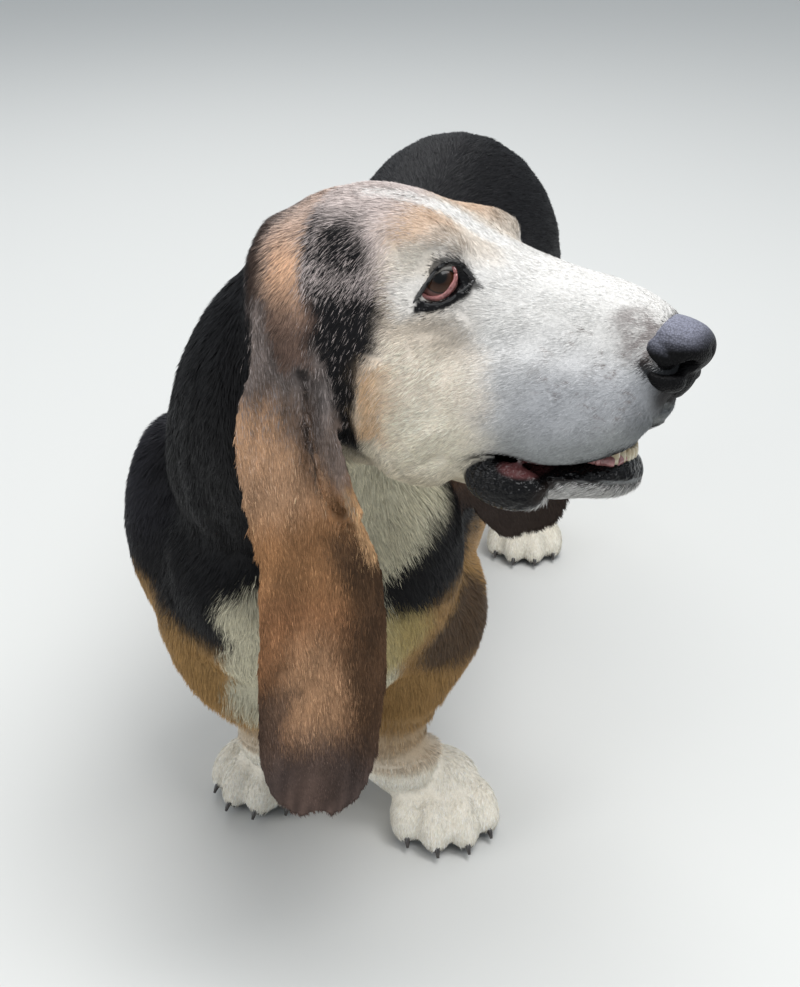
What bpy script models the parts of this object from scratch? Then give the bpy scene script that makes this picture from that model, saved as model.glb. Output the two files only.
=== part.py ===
"""A life-size basset hound, standing, its head turned to its left. Metres, +Z up, the body faces -Y."""

import math

import bmesh
import bpy
import numpy as np
from mathutils import Euler, Matrix, Vector

# Driving dimensions. The design frame has its origin on the floor midway between the fore paws, with +X to
# the dog's left. The last step puts the origin on the floor point under the middle of the box.
WITHERS = 0.360
CHEST_HALF_WIDTH = 0.106
BODY_START = -0.135
BODY_END = 0.540
WHEELBASE = 0.409
EYE_RADIUS = 0.0120
EAR_THICKNESS = 0.0055
LID_RADIUS = 0.0024
GAP = 0.0003

# Each foot: its side (1 is left), the wrist's place if it is a fore foot, the paw's place and how far it
# turns out in degrees.
FORE_FEET = (
    (1, (0.054, -0.012), (0.091, -0.004), 24),
    (-1, (-0.026, -0.012), (-0.032, 0.006), 12),
)
HIND_FEET = (
    (1, (0.078, WHEELBASE), 10),
    (-1, (-0.064, WHEELBASE + 0.010), 8),
)

# The head has its own frame: +X to the nose, +Y to its left, +Z to the crown, origin between the eyes.
HEAD_AT = Vector((0.143, -0.149, 0.458))
HEAD_YAW = math.radians(77.0)
HEAD_PITCH = math.radians(2.5)
HEAD_ROLL = math.radians(7.7)

# The planes that part head from neck, neck from torso and tail from torso: a point and the way out.
HEAD_CUT = Vector((0.0200, -0.1220, 0.4600))
HEAD_CUT_NORMAL = Vector((0.80, -0.18, 0.57)).normalized()
NECK_CUT = Vector((0.0, -0.070, 0.300))
NECK_CUT_NORMAL = Vector((0.0, -0.69, 0.73)).normalized()
TAIL_CUT = Vector((0.0, 0.549, 0.315))
TAIL_CUT_NORMAL = Vector((0.0, 1.0, 0.05)).normalized()

# Colour and roughness of each node.
CREAM = (0.60, 0.53, 0.45)
BLACK = (0.022, 0.020, 0.020)
TAN = (0.38, 0.22, 0.13)
WHITE = (0.68, 0.64, 0.58)
LOOKS = {
    "head": (CREAM, 0.75),
    "lower_jaw": ((0.30, 0.26, 0.24), 0.55),
    "tongue": ((0.46, 0.16, 0.15), 0.35),
    "nose": ((0.018, 0.018, 0.021), 0.42),
    "eye_left": ((0.028, 0.011, 0.006), 0.06),
    "eye_right": ((0.028, 0.011, 0.006), 0.06),
    "ear_left": ((0.10, 0.055, 0.038), 0.75),
    "ear_right": ((0.13, 0.068, 0.045), 0.75),
    "neck": (BLACK, 0.70),
    "torso": (BLACK, 0.70),
    "tail": (BLACK, 0.72),
    "leg_front_left": (TAN, 0.75),
    "leg_front_right": (TAN, 0.75),
    "leg_hind_left": (TAN, 0.75),
    "leg_hind_right": (TAN, 0.75),
    "paw_front_left": (WHITE, 0.75),
    "paw_front_right": (WHITE, 0.75),
    "paw_hind_left": (WHITE, 0.75),
    "paw_hind_right": (WHITE, 0.75),
}

# The toes of a left paw, seen from above, before the paw's own scale.
TOES = ((-0.027, -0.026), (-0.010, -0.041), (0.010, -0.041), (0.027, -0.026))
FORE_PAW_SIZE = 0.96
HIND_PAW_SIZE = 0.86
PAW_TOP = 0.041

EYE_CENTRE = Vector((-0.0070, 0.0325, 0.0050))

CLAY_VOXEL = 0.005
FORM_VOXEL = 0.003
ROUND_SIDES = 20
PATH_STEPS = 5


def head_matrix():
    """The head's place: turned to the dog's left, nose a little up, far side a little down."""
    turn = Euler((-HEAD_ROLL, -HEAD_PITCH, HEAD_YAW - math.pi / 2), "XYZ").to_matrix()
    return Matrix.Translation(HEAD_AT) @ turn.to_4x4()


def smooth_rows(rows, steps=PATH_STEPS):
    """Rows of numbers made denser along a Catmull-Rom curve, steps rows for each span."""
    rows = np.array(rows, float)
    padded = np.vstack([2 * rows[0] - rows[1], rows, 2 * rows[-1] - rows[-2]])
    made = []
    for before, start, end, after in zip(padded, padded[1:], padded[2:], padded[3:]):
        for t in np.arange(steps) / steps:
            slope = end - before
            bend = 2 * before - 5 * start + 4 * end - after
            twist = 3 * start - before - 3 * end + after
            made.append(0.5 * (2 * start + slope * t + bend * t * t + twist * t**3))
    made.append(rows[-1])
    return np.array(made)


def unit(vector):
    return vector / np.linalg.norm(vector)


def loft(stations, across=(1, 0, 0), sides=ROUND_SIDES, steps=PATH_STEPS):
    """A closed tube through stations of x, y, z, half width, half height above and half height below."""
    rows = smooth_rows(stations, steps)
    angles = np.arange(sides) * 2 * math.pi / sides
    points = []
    for i, row in enumerate(rows):
        ahead = unit(rows[min(i + 1, len(rows) - 1), :3] - rows[max(i - 1, 0), :3])
        side = np.array(across, float)
        side = unit(side - ahead * side.dot(ahead))
        upward = np.cross(ahead, side) if np.cross(ahead, side)[2] >= 0 else np.cross(side, ahead)
        width, above, below = np.maximum(row[3:6], 0.001)
        for angle in angles:
            height = above if math.sin(angle) > 0 else below
            points.append(row[:3] + side * width * math.cos(angle) + upward * height * math.sin(angle))
    faces = []
    for i in range(len(rows) - 1):
        for j in range(sides):
            k = (j + 1) % sides
            faces.append((i * sides + j, i * sides + k, (i + 1) * sides + k, (i + 1) * sides + j))
    faces.append(tuple(reversed(range(sides))))
    faces.append(tuple(range((len(rows) - 1) * sides, len(rows) * sides)))
    mesh = bpy.data.meshes.new("loft")
    mesh.from_pydata([tuple(p) for p in points], [], faces)
    return outward(mesh)


def outward(mesh):
    """The mesh with its faces pointing out."""
    work = bmesh.new()
    work.from_mesh(mesh)
    bmesh.ops.recalc_face_normals(work, faces=work.faces)
    work.to_mesh(mesh)
    work.free()
    return mesh


def blob(centre, radii, turn=(0, 0, 0), detail=3):
    """An ellipsoid with its own half sizes, turned by degrees about X, Y and Z."""
    place = Matrix.Translation(centre) @ Euler([math.radians(a) for a in turn]).to_matrix().to_4x4()
    work = bmesh.new()
    bmesh.ops.create_icosphere(work, subdivisions=detail, radius=1.0)
    bmesh.ops.transform(work, matrix=place @ Matrix.Diagonal((*radii, 1.0)), verts=work.verts)
    mesh = bpy.data.meshes.new("blob")
    work.to_mesh(mesh)
    work.free()
    return mesh


def moved(mesh, matrix):
    """A copy of the mesh, carried by the matrix, with its faces still pointing out where it mirrors."""
    copy = mesh.copy()
    copy.transform(matrix)
    if matrix.determinant() < 0:
        copy.flip_normals()
    return copy


def both_sides(meshes):
    """The meshes and their mirror images across Y = 0, the head's own middle plane."""
    flip = Matrix.Diagonal((1, -1, 1, 1))
    return list(meshes) + [moved(m, flip) for m in meshes]


def new_object(name, mesh):
    made = bpy.data.objects.new(name, mesh)
    bpy.context.scene.collection.objects.link(made)
    return made


def joined(meshes):
    """One mesh that holds them all, still as separate shells."""
    work = bmesh.new()
    for mesh in meshes:
        work.from_mesh(mesh)
    made = bpy.data.meshes.new("joined")
    work.to_mesh(made)
    work.free()
    return made


def evaluated(obj):
    """The object's mesh with its modifiers applied; the object is removed."""
    graph = bpy.context.evaluated_depsgraph_get()
    made = bpy.data.meshes.new_from_object(obj.evaluated_get(graph))
    bpy.data.objects.remove(obj)
    return made


def fused(meshes, voxel, rounds, factor=0.5):
    """The meshes joined as one skin, by a voxel remesh and a few rounds of smoothing."""
    work = new_object("fused", joined(meshes))
    remesh = work.modifiers.new("Remesh", "REMESH")
    remesh.mode = "VOXEL"
    remesh.voxel_size = voxel
    smooth = work.modifiers.new("Smooth", "SMOOTH")
    smooth.factor = factor
    smooth.iterations = rounds
    return evaluated(work)


def torso_clay():
    """Chest, ribs, loin and rump, as one loft along the back."""
    wide = CHEST_HALF_WIDTH
    return [
        loft([
            (0, BODY_START, 0.205, 0.020, 0.020, 0.020),
            (0, -0.118, 0.215, 0.52 * wide, 0.060, 0.062),
            (0, -0.085, 0.210, 0.79 * wide, 0.108, 0.095),
            (0, -0.030, 0.208, 0.96 * wide, 0.145, 0.108),
            (0, 0.040, 0.208, wide, WITHERS - 0.208, 0.110),
            (0, 0.130, 0.215, wide, 0.138, 0.112),
            (0, 0.220, 0.235, 0.98 * wide, 0.117, 0.120),
            (0, 0.300, 0.245, 0.95 * wide, 0.112, 0.108),
            (0, 0.370, 0.255, 0.92 * wide, 0.115, 0.092),
            (0, 0.430, 0.260, 0.92 * wide, 0.118, 0.080),
            (0, 0.480, 0.262, 0.84 * wide, 0.107, 0.070),
            (0, 0.520, 0.262, 0.58 * wide, 0.078, 0.055),
            (0, BODY_END, 0.262, 0.020, 0.030, 0.020),
        ]),
        blob((0.002, -0.088, 0.240), (0.070, 0.050, 0.085), (-10, 0, 0)),
    ]


def neck_clay():
    """The neck, from inside the shoulders to inside the skull, with the dewlap's slack skin under it."""
    return [
        loft([
            (0.000, 0.050, 0.240, 0.070, 0.080, 0.080),
            (0.002, -0.020, 0.272, 0.076, 0.082, 0.085),
            (0.008, -0.072, 0.318, 0.073, 0.066, 0.082),
            (0.020, -0.108, 0.362, 0.065, 0.056, 0.076),
            (0.039, -0.130, 0.400, 0.059, 0.054, 0.072),
            (0.066, -0.142, 0.428, 0.052, 0.050, 0.062),
            (0.105, -0.146, 0.438, 0.040, 0.040, 0.050),
        ])
    ]


def fore_leg_clay(side, wrist, paw):
    """A fore leg down to the pastern: side is 1 for the left one, wrist and paw are seen from above."""
    (wrist_x, wrist_y), (paw_x, paw_y) = wrist, paw
    elbow_x = side * 0.088
    return [
        blob((side * 0.074, -0.035, 0.232), (0.038, 0.060, 0.088), (18, 0, 0)),
        blob((side * 0.078, 0.000, 0.172), (0.033, 0.048, 0.055)),
        loft([
            (side * 0.084, 0.022, 0.190, 0.030, 0.034, 0.034),
            (elbow_x, 0.012, 0.150, 0.032, 0.037, 0.036),
            (0.5 * elbow_x + 0.5 * wrist_x, -0.004, 0.112, 0.029, 0.031, 0.030),
            (0.15 * elbow_x + 0.85 * wrist_x, wrist_y - 0.002, 0.082, 0.026, 0.027, 0.027),
            (0.9 * wrist_x + 0.1 * paw_x, wrist_y - 0.004, 0.060, 0.027, 0.027, 0.027),
            (0.4 * wrist_x + 0.6 * paw_x, 0.5 * wrist_y + 0.5 * paw_y, 0.036, 0.029, 0.028, 0.026),
        ]),
    ]


def hind_leg_clay(side, paw):
    """A hind leg down to the pastern: side is 1 for the left one, paw is its place seen from above."""
    x, y = paw
    return [
        blob((side * 0.052, 0.425, 0.240), (0.044, 0.078, 0.100), (-15, 0, 0)),
        blob((side * 0.068, 0.378, 0.180), (0.032, 0.046, 0.050)),
        loft([
            (side * 0.068, 0.375, 0.185, 0.032, 0.045, 0.045),
            (0.5 * side * 0.070 + 0.5 * x, 0.410, 0.152, 0.030, 0.038, 0.038),
            (x - side * 0.004, y + 0.050, 0.122, 0.024, 0.026, 0.026),
            (x - side * 0.006, y + 0.072, 0.102, 0.021, 0.023, 0.023),
            (x - side * 0.006, y + 0.066, 0.078, 0.020, 0.020, 0.020),
            (x - side * 0.004, y + 0.048, 0.050, 0.021, 0.021, 0.021),
            (x, y + 0.032, 0.030, 0.024, 0.022, 0.022),
        ]),
    ]


def paw_clay(size):
    """A left paw at the origin, toes towards -Y."""
    toes = [
        loft([
            (x * 0.7, y + 0.030, 0.024, 0.011, 0.014, 0.014),
            (x, y + 0.008, 0.024, 0.0125, 0.015, 0.014),
            (x * 1.08, y - 0.006, 0.016, 0.0120, 0.012, 0.015),
            (x * 1.10, y - 0.014, 0.010, 0.006, 0.006, 0.008),
        ])
        for x, y in TOES
    ]
    pad = blob((0, 0.004, 0.024), (0.034, 0.040, 0.026))
    return [moved(m, Matrix.Scale(size, 4)) for m in [pad, *toes]]


def claws_clay(size):
    """The four claws of a left paw, their roots deep in the toes."""
    claws = []
    for x, y in TOES:
        claws.append(loft([
            (x * 1.06, y - 0.002, 0.0140, 0.0027, 0.0031, 0.0031),
            (x * 1.11, y - 0.012, 0.0118, 0.0025, 0.0030, 0.0030),
            (x * 1.14, y - 0.0165, 0.0092, 0.0019, 0.0022, 0.0022),
            (x * 1.15, y - 0.0195, 0.0058, 0.0006, 0.0008, 0.0008),
        ], sides=6, steps=1))
    return [moved(m, Matrix.Scale(size, 4)) for m in claws]


def place_paw(x, y, turn):
    return Matrix.Translation((x, y, -0.002)) @ Matrix.Rotation(math.radians(turn), 4, "Z")


def tail_clay():
    """The tail at rest, hanging behind the rump with its tip bent back."""
    return [
        loft([
            (0, 0.490, 0.335, 0.028, 0.026, 0.026),
            (0, 0.540, 0.324, 0.022, 0.022, 0.022),
            (0, 0.578, 0.282, 0.017, 0.018, 0.018),
            (0.002, 0.596, 0.218, 0.014, 0.015, 0.015),
            (0.006, 0.608, 0.158, 0.011, 0.012, 0.012),
            (0.012, 0.628, 0.106, 0.008, 0.009, 0.009),
            (0.018, 0.656, 0.080, 0.003, 0.004, 0.004),
        ])
    ]


def skull_clay():
    """Cranium, muzzle, cheeks and brows in the head's frame."""
    core = loft([
        (-0.128, 0, 0.012, 0.014, 0.014, 0.014),
        (-0.115, 0, 0.004, 0.036, 0.038, 0.032),
        (-0.090, 0, -0.006, 0.052, 0.053, 0.048),
        (-0.060, 0, -0.012, 0.056, 0.059, 0.054),
        (-0.030, 0, -0.018, 0.053, 0.058, 0.052),
        (0.000, 0, -0.022, 0.045, 0.050, 0.048),
        (0.022, 0, -0.024, 0.037, 0.045, 0.044),
        (0.045, 0, -0.026, 0.031, 0.042, 0.040),
        (0.070, 0, -0.026, 0.028, 0.039, 0.036),
        (0.092, 0, -0.024, 0.026, 0.032, 0.032),
        (0.106, 0, -0.0215, 0.021, 0.023, 0.0235),
        (0.112, 0, -0.0200, 0.014, 0.015, 0.0155),
    ], across=(0, 1, 0))
    sides = both_sides([
        blob((-0.045, 0.037, -0.040), (0.050, 0.022, 0.046)),
        blob((-0.015, 0.031, 0.022), (0.026, 0.014, 0.0145), (0, 10, 12)),
        blob((-0.024, 0.043, -0.014), (0.034, 0.011, 0.014), (0, -10, -8)),
        blob((-0.018, 0.033, -0.072), (0.038, 0.015, 0.036)),
        blob((-0.098, 0.028, 0.016), (0.018, 0.018, 0.017)),
        loft([
            (-0.094, 0.034, 0.016, 0.020, 0.016, 0.016),
            (-0.091, 0.050, 0.002, 0.021, 0.016, 0.016),
            (-0.086, 0.058, -0.022, 0.020, 0.013, 0.013),
            (-0.080, 0.060, -0.046, 0.016, 0.009, 0.009),
        ], across=(1, 0, 0)),
    ])
    return [core, *sides]


def flew_clay():
    """The upper lips, hanging past the jaw on both sides."""
    lip = loft([
        (0.0980, 0.004, -0.0395, 0.006, 0.010, 0.0150),
        (0.0935, 0.012, -0.0425, 0.010, 0.015, 0.0180),
        (0.089, 0.019, -0.0440, 0.012, 0.021, 0.0235),
        (0.080, 0.0245, -0.0465, 0.012, 0.023, 0.0275),
        (0.067, 0.028, -0.0490, 0.012, 0.026, 0.0305),
        (0.050, 0.031, -0.0510, 0.012, 0.028, 0.0315),
        (0.036, 0.034, -0.0510, 0.012, 0.028, 0.0285),
        (0.020, 0.036, -0.0520, 0.011, 0.028, 0.0285),
        (0.004, 0.037, -0.0540, 0.011, 0.028, 0.0330),
        (-0.012, 0.037, -0.0540, 0.010, 0.024, 0.0320),
    ], across=(0, 1, 0))
    return both_sides([lip])


def jaw_stations():
    """The lower jaw's sections, from the chin back."""
    rows = (
        (0.0900, -0.0835, 0.009, 0.0055, 0.0085),
        (0.0862, -0.0852, 0.0165, 0.0085, 0.0125),
        (0.0790, -0.0875, 0.0230, 0.0100, 0.0145),
        (0.0650, -0.0900, 0.0270, 0.0098, 0.0148),
        (0.0500, -0.0915, 0.0290, 0.0090, 0.0160),
        (0.0300, -0.0935, 0.0310, 0.0085, 0.0150),
        (0.0120, -0.0930, 0.0320, 0.0090, 0.0150),
        (-0.010, -0.0880, 0.0320, 0.0140, 0.0180),
    )
    return [(x, 0, *rest) for x, *rest in rows]


def throat_clay():
    """The throat under the skull, behind the lower jaw."""
    return [loft([
        (-0.005, 0, -0.088, 0.028, 0.018, 0.018),
        (-0.030, 0, -0.078, 0.036, 0.028, 0.032),
        (-0.065, 0, -0.062, 0.040, 0.034, 0.050),
        (-0.095, 0, -0.042, 0.038, 0.030, 0.050),
        (-0.125, 0, -0.030, 0.030, 0.020, 0.040),
    ], across=(0, 1, 0))]


def jaw_clay():
    """The lower jaw with the slack lip at each corner of the mouth."""
    corner = blob((0.033, 0.0335, -0.0955), (0.0235, 0.0085, 0.0130), (0, 6, -4))
    return [loft(jaw_stations(), across=(0, 1, 0)), *both_sides([corner])]


def teeth_clay():
    """The lower canines and the small teeth between them, rooted in the jaw."""
    teeth = [
        loft([
            (0.0818, 0.0130, -0.0880, 0.0033, 0.0033, 0.0033),
            (0.0830, 0.0130, -0.0755, 0.0026, 0.0026, 0.0026),
            (0.0840, 0.0130, -0.0705, 0.0010, 0.0010, 0.0010),
        ], sides=6, steps=1)
    ]
    for along, out in ((0.0848, 0.0090), (0.0862, 0.0054), (0.0868, 0.0018)):
        teeth.append(loft([
            (along - 0.001, out, -0.0860, 0.0018, 0.0018, 0.0018),
            (along, out, -0.0762, 0.0015, 0.0015, 0.0015),
        ], sides=6, steps=1))
    return both_sides(teeth)


def tongue_clay():
    """The tongue, lying in the jaw behind the teeth."""
    return [loft([
        (0.070, 0, -0.0770, 0.008, 0.0025, 0.0025),
        (0.062, 0, -0.0760, 0.013, 0.0035, 0.0035),
        (0.040, 0, -0.0770, 0.017, 0.0045, 0.0035),
        (0.018, 0, -0.0780, 0.018, 0.0060, 0.0040),
        (-0.002, 0, -0.0770, 0.016, 0.0060, 0.0040),
    ], across=(0, 1, 0), sides=14, steps=3)]


def nose_clay():
    """The nose leather: a broad pad whose front slopes back to a foot on the lip, wings at its sides."""
    return [
        loft([
            (0.0880, 0, -0.0180, 0.0150, 0.0115, 0.0100),
            (0.0960, 0, -0.0180, 0.0190, 0.0134, 0.0135),
            (0.1040, 0, -0.0180, 0.0204, 0.0135, 0.0160),
            (0.1100, 0, -0.0180, 0.0200, 0.0126, 0.0165),
            (0.1150, 0, -0.0180, 0.0184, 0.0110, 0.0150),
            (0.1192, 0, -0.0180, 0.0156, 0.0090, 0.0120),
            (0.1224, 0, -0.0178, 0.0116, 0.0064, 0.0080),
            (0.1245, 0, -0.0175, 0.0060, 0.0032, 0.0038),
        ], across=(0, 1, 0)),
        blob((0.1105, 0, -0.0340), (0.0068, 0.0090, 0.0135), (0, 25, 0)),
        *both_sides([
            blob((0.1005, 0.0142, -0.0200), (0.0125, 0.0080, 0.0085), (0, 25, 8)),
            blob((0.1020, 0.0118, -0.0305), (0.0150, 0.0108, 0.0085), (0, 25, 0)),
        ]),
    ]


# The slit of a nostril from its outer end forward and up, and the middle of its opening.
NOSTRIL_SLIT = (
    (0.0950, 0.0225, -0.0195), (0.0995, 0.0218, -0.0245), (0.1045, 0.0200, -0.0288),
    (0.1095, 0.0170, -0.0295), (0.1145, 0.0130, -0.0270), (0.1185, 0.0100, -0.0228),
)
NOSTRIL_HOLE = (0.1148, 0.0120, -0.0258)
NOSTRIL_HOLE_SIZE = (0.0055, 0.0032, 0.0040)
SLIT_RADIUS = 0.0012


def nostril_cutters():
    """The opening of each nostril and the slit that curls back from it under the wing."""
    rows = [(*place, SLIT_RADIUS, SLIT_RADIUS, SLIT_RADIUS) for place in NOSTRIL_SLIT]
    slit = loft(rows, across=(0, 1, 0), sides=6, steps=1)
    opening = fused([slit, blob(NOSTRIL_HOLE, NOSTRIL_HOLE_SIZE, (0, 20, -20))], 0.0006, 2)
    return both_sides([decimated(opening, 110)])


# The middle of each lid's edge, for the left eye in the head's frame.
UPPER_LID = (
    (-0.0152, 0.0475, -0.0051), (-0.0115, 0.0475, 0.0008), (-0.0084, 0.0465, 0.0063),
    (-0.0054, 0.0450, 0.0113), (-0.0022, 0.0430, 0.0151), (0.0009, 0.0405, 0.0167),
    (0.0043, 0.0385, 0.0158), (0.0076, 0.0360, 0.0123), (0.0110, 0.0335, 0.0077),
)
LOWER_LID = (
    (-0.0152, 0.0475, -0.0051), (-0.0106, 0.0468, -0.0045), (-0.0062, 0.0458, -0.0046),
    (-0.0013, 0.0445, -0.0038), (0.0025, 0.0425, -0.0016), (0.0056, 0.0400, 0.0013),
    (0.0084, 0.0370, 0.0043), (0.0110, 0.0335, 0.0077),
)


def lids_clay():
    """The upper and lower lid of both eyes, as rims along the almond of the opening."""
    lids = []
    for path in (UPPER_LID, LOWER_LID):
        rows = [(*place, LID_RADIUS, LID_RADIUS, LID_RADIUS) for place in path]
        lids.append(loft(rows, across=(0, 1, 0), sides=6, steps=1))
    return both_sides(lids)


def eye_opening():
    """The almond of the lids' opening, on both sides."""
    return both_sides([blob((-0.0022, 0.0520, 0.0045), (0.0150, 0.0165, 0.0090), (0, -30, 0), 2)])


def eye_mesh(side, radius):
    return moved(blob((EYE_CENTRE.x, side * EYE_CENTRE.y, EYE_CENTRE.z), (radius,) * 3), head_matrix())


def ear_sheet(rows, across, curl, valley, columns=8):
    """An ear's leather: rows of x, y, z, half width and half thickness, the front edge rolled at its root."""
    rows = smooth_rows(rows, 2)
    fronts, backs = [], []
    count = len(rows)
    for i, (x, y, z, width, half) in enumerate(rows):
        ahead = unit(rows[min(i + 1, count - 1), :3] - rows[max(i - 1, 0), :3])
        side = np.array(across, float)
        side = unit(side - ahead * side.dot(ahead))
        normal = np.cross(side, ahead)
        share = i / (count - 1)
        for j in range(columns + 1):
            s = math.sin(math.pi * (j / columns - 0.5))
            fold = valley * math.exp(-(((share - 0.30) / 0.13) ** 2) - ((s - 0.40) / 0.16) ** 2)
            wave = curl * (1 - s * s) * min(1.0, width / 0.030) - fold
            wave += 0.001 * math.sin(7 * share + 2.5 * s)
            middle = np.array((x, y, z)) + side * width * s + normal * wave
            body = half * (0.35 + 0.65 * math.sqrt(max(0.0, 1 - s**4)))
            fronts.append(middle + normal * body)
            backs.append(middle - normal * body)
    wide = columns + 1
    offset = len(fronts)
    faces = []
    for i in range(count - 1):
        for j in range(columns):
            a, b, c, d = i * wide + j, i * wide + j + 1, (i + 1) * wide + j + 1, (i + 1) * wide + j
            faces.append((a, b, c))
            faces.append((a, c, d))
            faces.append((offset + a, offset + c, offset + b))
            faces.append((offset + a, offset + d, offset + c))
    rim = [i * wide for i in range(count)] + [(count - 1) * wide + j for j in range(1, wide)]
    rim += [i * wide + columns for i in range(count - 2, -1, -1)] + [j for j in range(columns - 1, 0, -1)]
    for a, b in zip(rim, rim[1:] + rim[:1]):
        faces.append((a, b, offset + b, offset + a))
    mesh = bpy.data.meshes.new("ear")
    mesh.from_pydata([tuple(p) for p in fronts + backs], [], faces)
    return outward(mesh)


def right_ear():
    """The right ear, hanging free in front of the neck: its root sinks into the skull."""
    half = EAR_THICKNESS / 2
    side = Vector((math.cos(math.radians(14)), math.sin(math.radians(14)), 0))
    inward = Vector((-side.y, side.x, 0))
    root = Vector((0.057, -0.204, 0.0))
    rows = []
    for slide, z, width, sunk in (
        (-0.006, 0.454, 0.012, 0.016), (-0.005, 0.438, 0.016, 0.009), (-0.003, 0.419, 0.020, 0.003),
        (-0.004, 0.394, 0.026, 0.0), (-0.001, 0.372, 0.029, 0.0), (0.006, 0.334, 0.031, 0.0),
        (0.014, 0.305, 0.034, 0.0), (0.015, 0.262, 0.036, 0.0), (0.013, 0.222, 0.036, 0.0),
        (0.011, 0.190, 0.034, 0.0), (0.010, 0.170, 0.029, 0.0), (0.010, 0.157, 0.021, 0.0),
        (0.010, 0.151, 0.010, 0.0),
    ):
        place = root + side * slide + inward * sunk + Vector((0, -0.045 * (0.45 - z), 0))
        rows.append((place.x, place.y, z, width, half))
    return ear_sheet(rows, side, 0.010, 0.010)


def left_ear():
    """The left ear, which swings back to lie along the shoulder."""
    half = EAR_THICKNESS / 2
    rows = [
        (0.080, -0.072, 0.446, 0.015, half),
        (0.090, -0.060, 0.420, 0.019, half),
        (0.104, -0.047, 0.384, 0.026, half),
        (0.121, -0.034, 0.342, 0.031, half),
        (0.133, -0.020, 0.300, 0.034, half),
        (0.141, -0.004, 0.265, 0.034, half),
        (0.143, 0.006, 0.244, 0.029, half),
        (0.143, 0.012, 0.230, 0.020, half),
        (0.144, 0.015, 0.224, 0.010, half),
    ]
    return ear_sheet(rows, (0.95, 0.30, 0), 0.009, 0.008)


def limbs_clay():
    """The four legs."""
    legs = []
    for side, wrist, paw, _ in FORE_FEET:
        legs += fore_leg_clay(side, wrist, paw)
    for side, paw, _ in HIND_FEET:
        legs += hind_leg_clay(side, paw)
    return legs


def paws_clay():
    """The four paws in their places, each turned out by its own angle."""
    paws = []
    for side, _, paw, turn in FORE_FEET:
        paws += [moved(m, place_paw(*paw, side * turn)) for m in paw_clay(FORE_PAW_SIZE)]
    for side, paw, turn in HIND_FEET:
        paws += [moved(m, place_paw(*paw, side * turn)) for m in paw_clay(HIND_PAW_SIZE)]
    return paws


def fore_leg_region(side, wrist, paw):
    """The space that parts a fore leg from the chest, a little wider than the leg."""
    (wrist_x, wrist_y), (paw_x, paw_y) = wrist, paw
    elbow_x = side * 0.088
    rows = (
        (side * 0.086, 0.020, 0.168, 0.036, 0.040, 0.040),
        (elbow_x, 0.012, 0.150, 0.038, 0.043, 0.042),
        (0.5 * elbow_x + 0.5 * wrist_x, -0.004, 0.112, 0.036, 0.038, 0.036),
        (0.15 * elbow_x + 0.85 * wrist_x, wrist_y - 0.002, 0.082, 0.034, 0.035, 0.035),
        (0.9 * wrist_x + 0.1 * paw_x, wrist_y - 0.004, 0.060, 0.036, 0.036, 0.036),
        (0.4 * wrist_x + 0.6 * paw_x, 0.5 * wrist_y + 0.5 * paw_y, 0.030, 0.042, 0.040, 0.036),
    )
    return region(rows)


def hind_leg_region(side, paw):
    """The space that parts a hind leg from the thigh, a little wider than the leg."""
    x, y = paw
    rows = (
        (side * 0.070, 0.385, 0.176, 0.044, 0.056, 0.056),
        (0.5 * side * 0.070 + 0.5 * x, 0.410, 0.152, 0.042, 0.050, 0.050),
        (x - side * 0.004, y + 0.050, 0.122, 0.034, 0.038, 0.036),
        (x - side * 0.006, y + 0.072, 0.102, 0.031, 0.034, 0.034),
        (x - side * 0.006, y + 0.066, 0.078, 0.030, 0.032, 0.032),
        (x - side * 0.004, y + 0.048, 0.050, 0.032, 0.034, 0.034),
        (x, y + 0.030, 0.024, 0.036, 0.038, 0.036),
    )
    return region(rows)


def region(rows):
    """A loft made into one plain closed surface that a Boolean can use."""
    return decimated(fused([loft(rows)], CLAY_VOXEL, 3), 200)


def half_space(point, normal, offset=0.0):
    """A big box whose one face passes offset past the point and that fills the normal's side."""
    normal = Vector(normal).normalized()
    work = bmesh.new()
    bmesh.ops.create_cube(work, size=2.0)
    turn = normal.to_track_quat("X", "Z").to_matrix().to_4x4()
    place = Matrix.Translation(Vector(point) + normal * (1.0 + offset)) @ turn
    bmesh.ops.transform(work, matrix=place, verts=work.verts)
    mesh = bpy.data.meshes.new("half")
    work.to_mesh(mesh)
    work.free()
    return mesh


def sliced(mesh, point, normal):
    """The closed part of the mesh on the normal's side of a plane."""
    work = bmesh.new()
    work.from_mesh(mesh)
    geometry = work.verts[:] + work.edges[:] + work.faces[:]
    cut = bmesh.ops.bisect_plane(work, geom=geometry, plane_co=point, plane_no=normal, clear_inner=True)
    bmesh.ops.holes_fill(work, edges=[e for e in cut["geom_cut"] if isinstance(e, bmesh.types.BMEdge)])
    made = bpy.data.meshes.new("sliced")
    work.to_mesh(made)
    work.free()
    return made


def decimated(mesh, triangles):
    """The mesh with about that many triangles."""
    work = new_object("decimated", mesh)
    modifier = work.modifiers.new("Decimate", "DECIMATE")
    modifier.ratio = triangles / sum(len(p.vertices) - 2 for p in mesh.polygons)
    modifier.use_collapse_triangulate = True
    return evaluated(work)


def grown(mesh, gap=1.3 * GAP):
    """The mesh with every face moved out by about the gap."""
    work = new_object("grown", mesh.copy())
    modifier = work.modifiers.new("Displace", "DISPLACE")
    modifier.strength = gap
    modifier.mid_level = 0.0
    return evaluated(work)


def combined(mesh, others, operation):
    """The mesh after an exact Boolean with each of the others in turn."""
    for other in others:
        work = new_object("work", mesh)
        tool = new_object("tool", other)
        modifier = work.modifiers.new("Boolean", "BOOLEAN")
        modifier.operation = operation
        modifier.solver = "EXACT"
        modifier.object = tool
        mesh = evaluated(work)
        bpy.data.objects.remove(tool)
    return mesh


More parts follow.
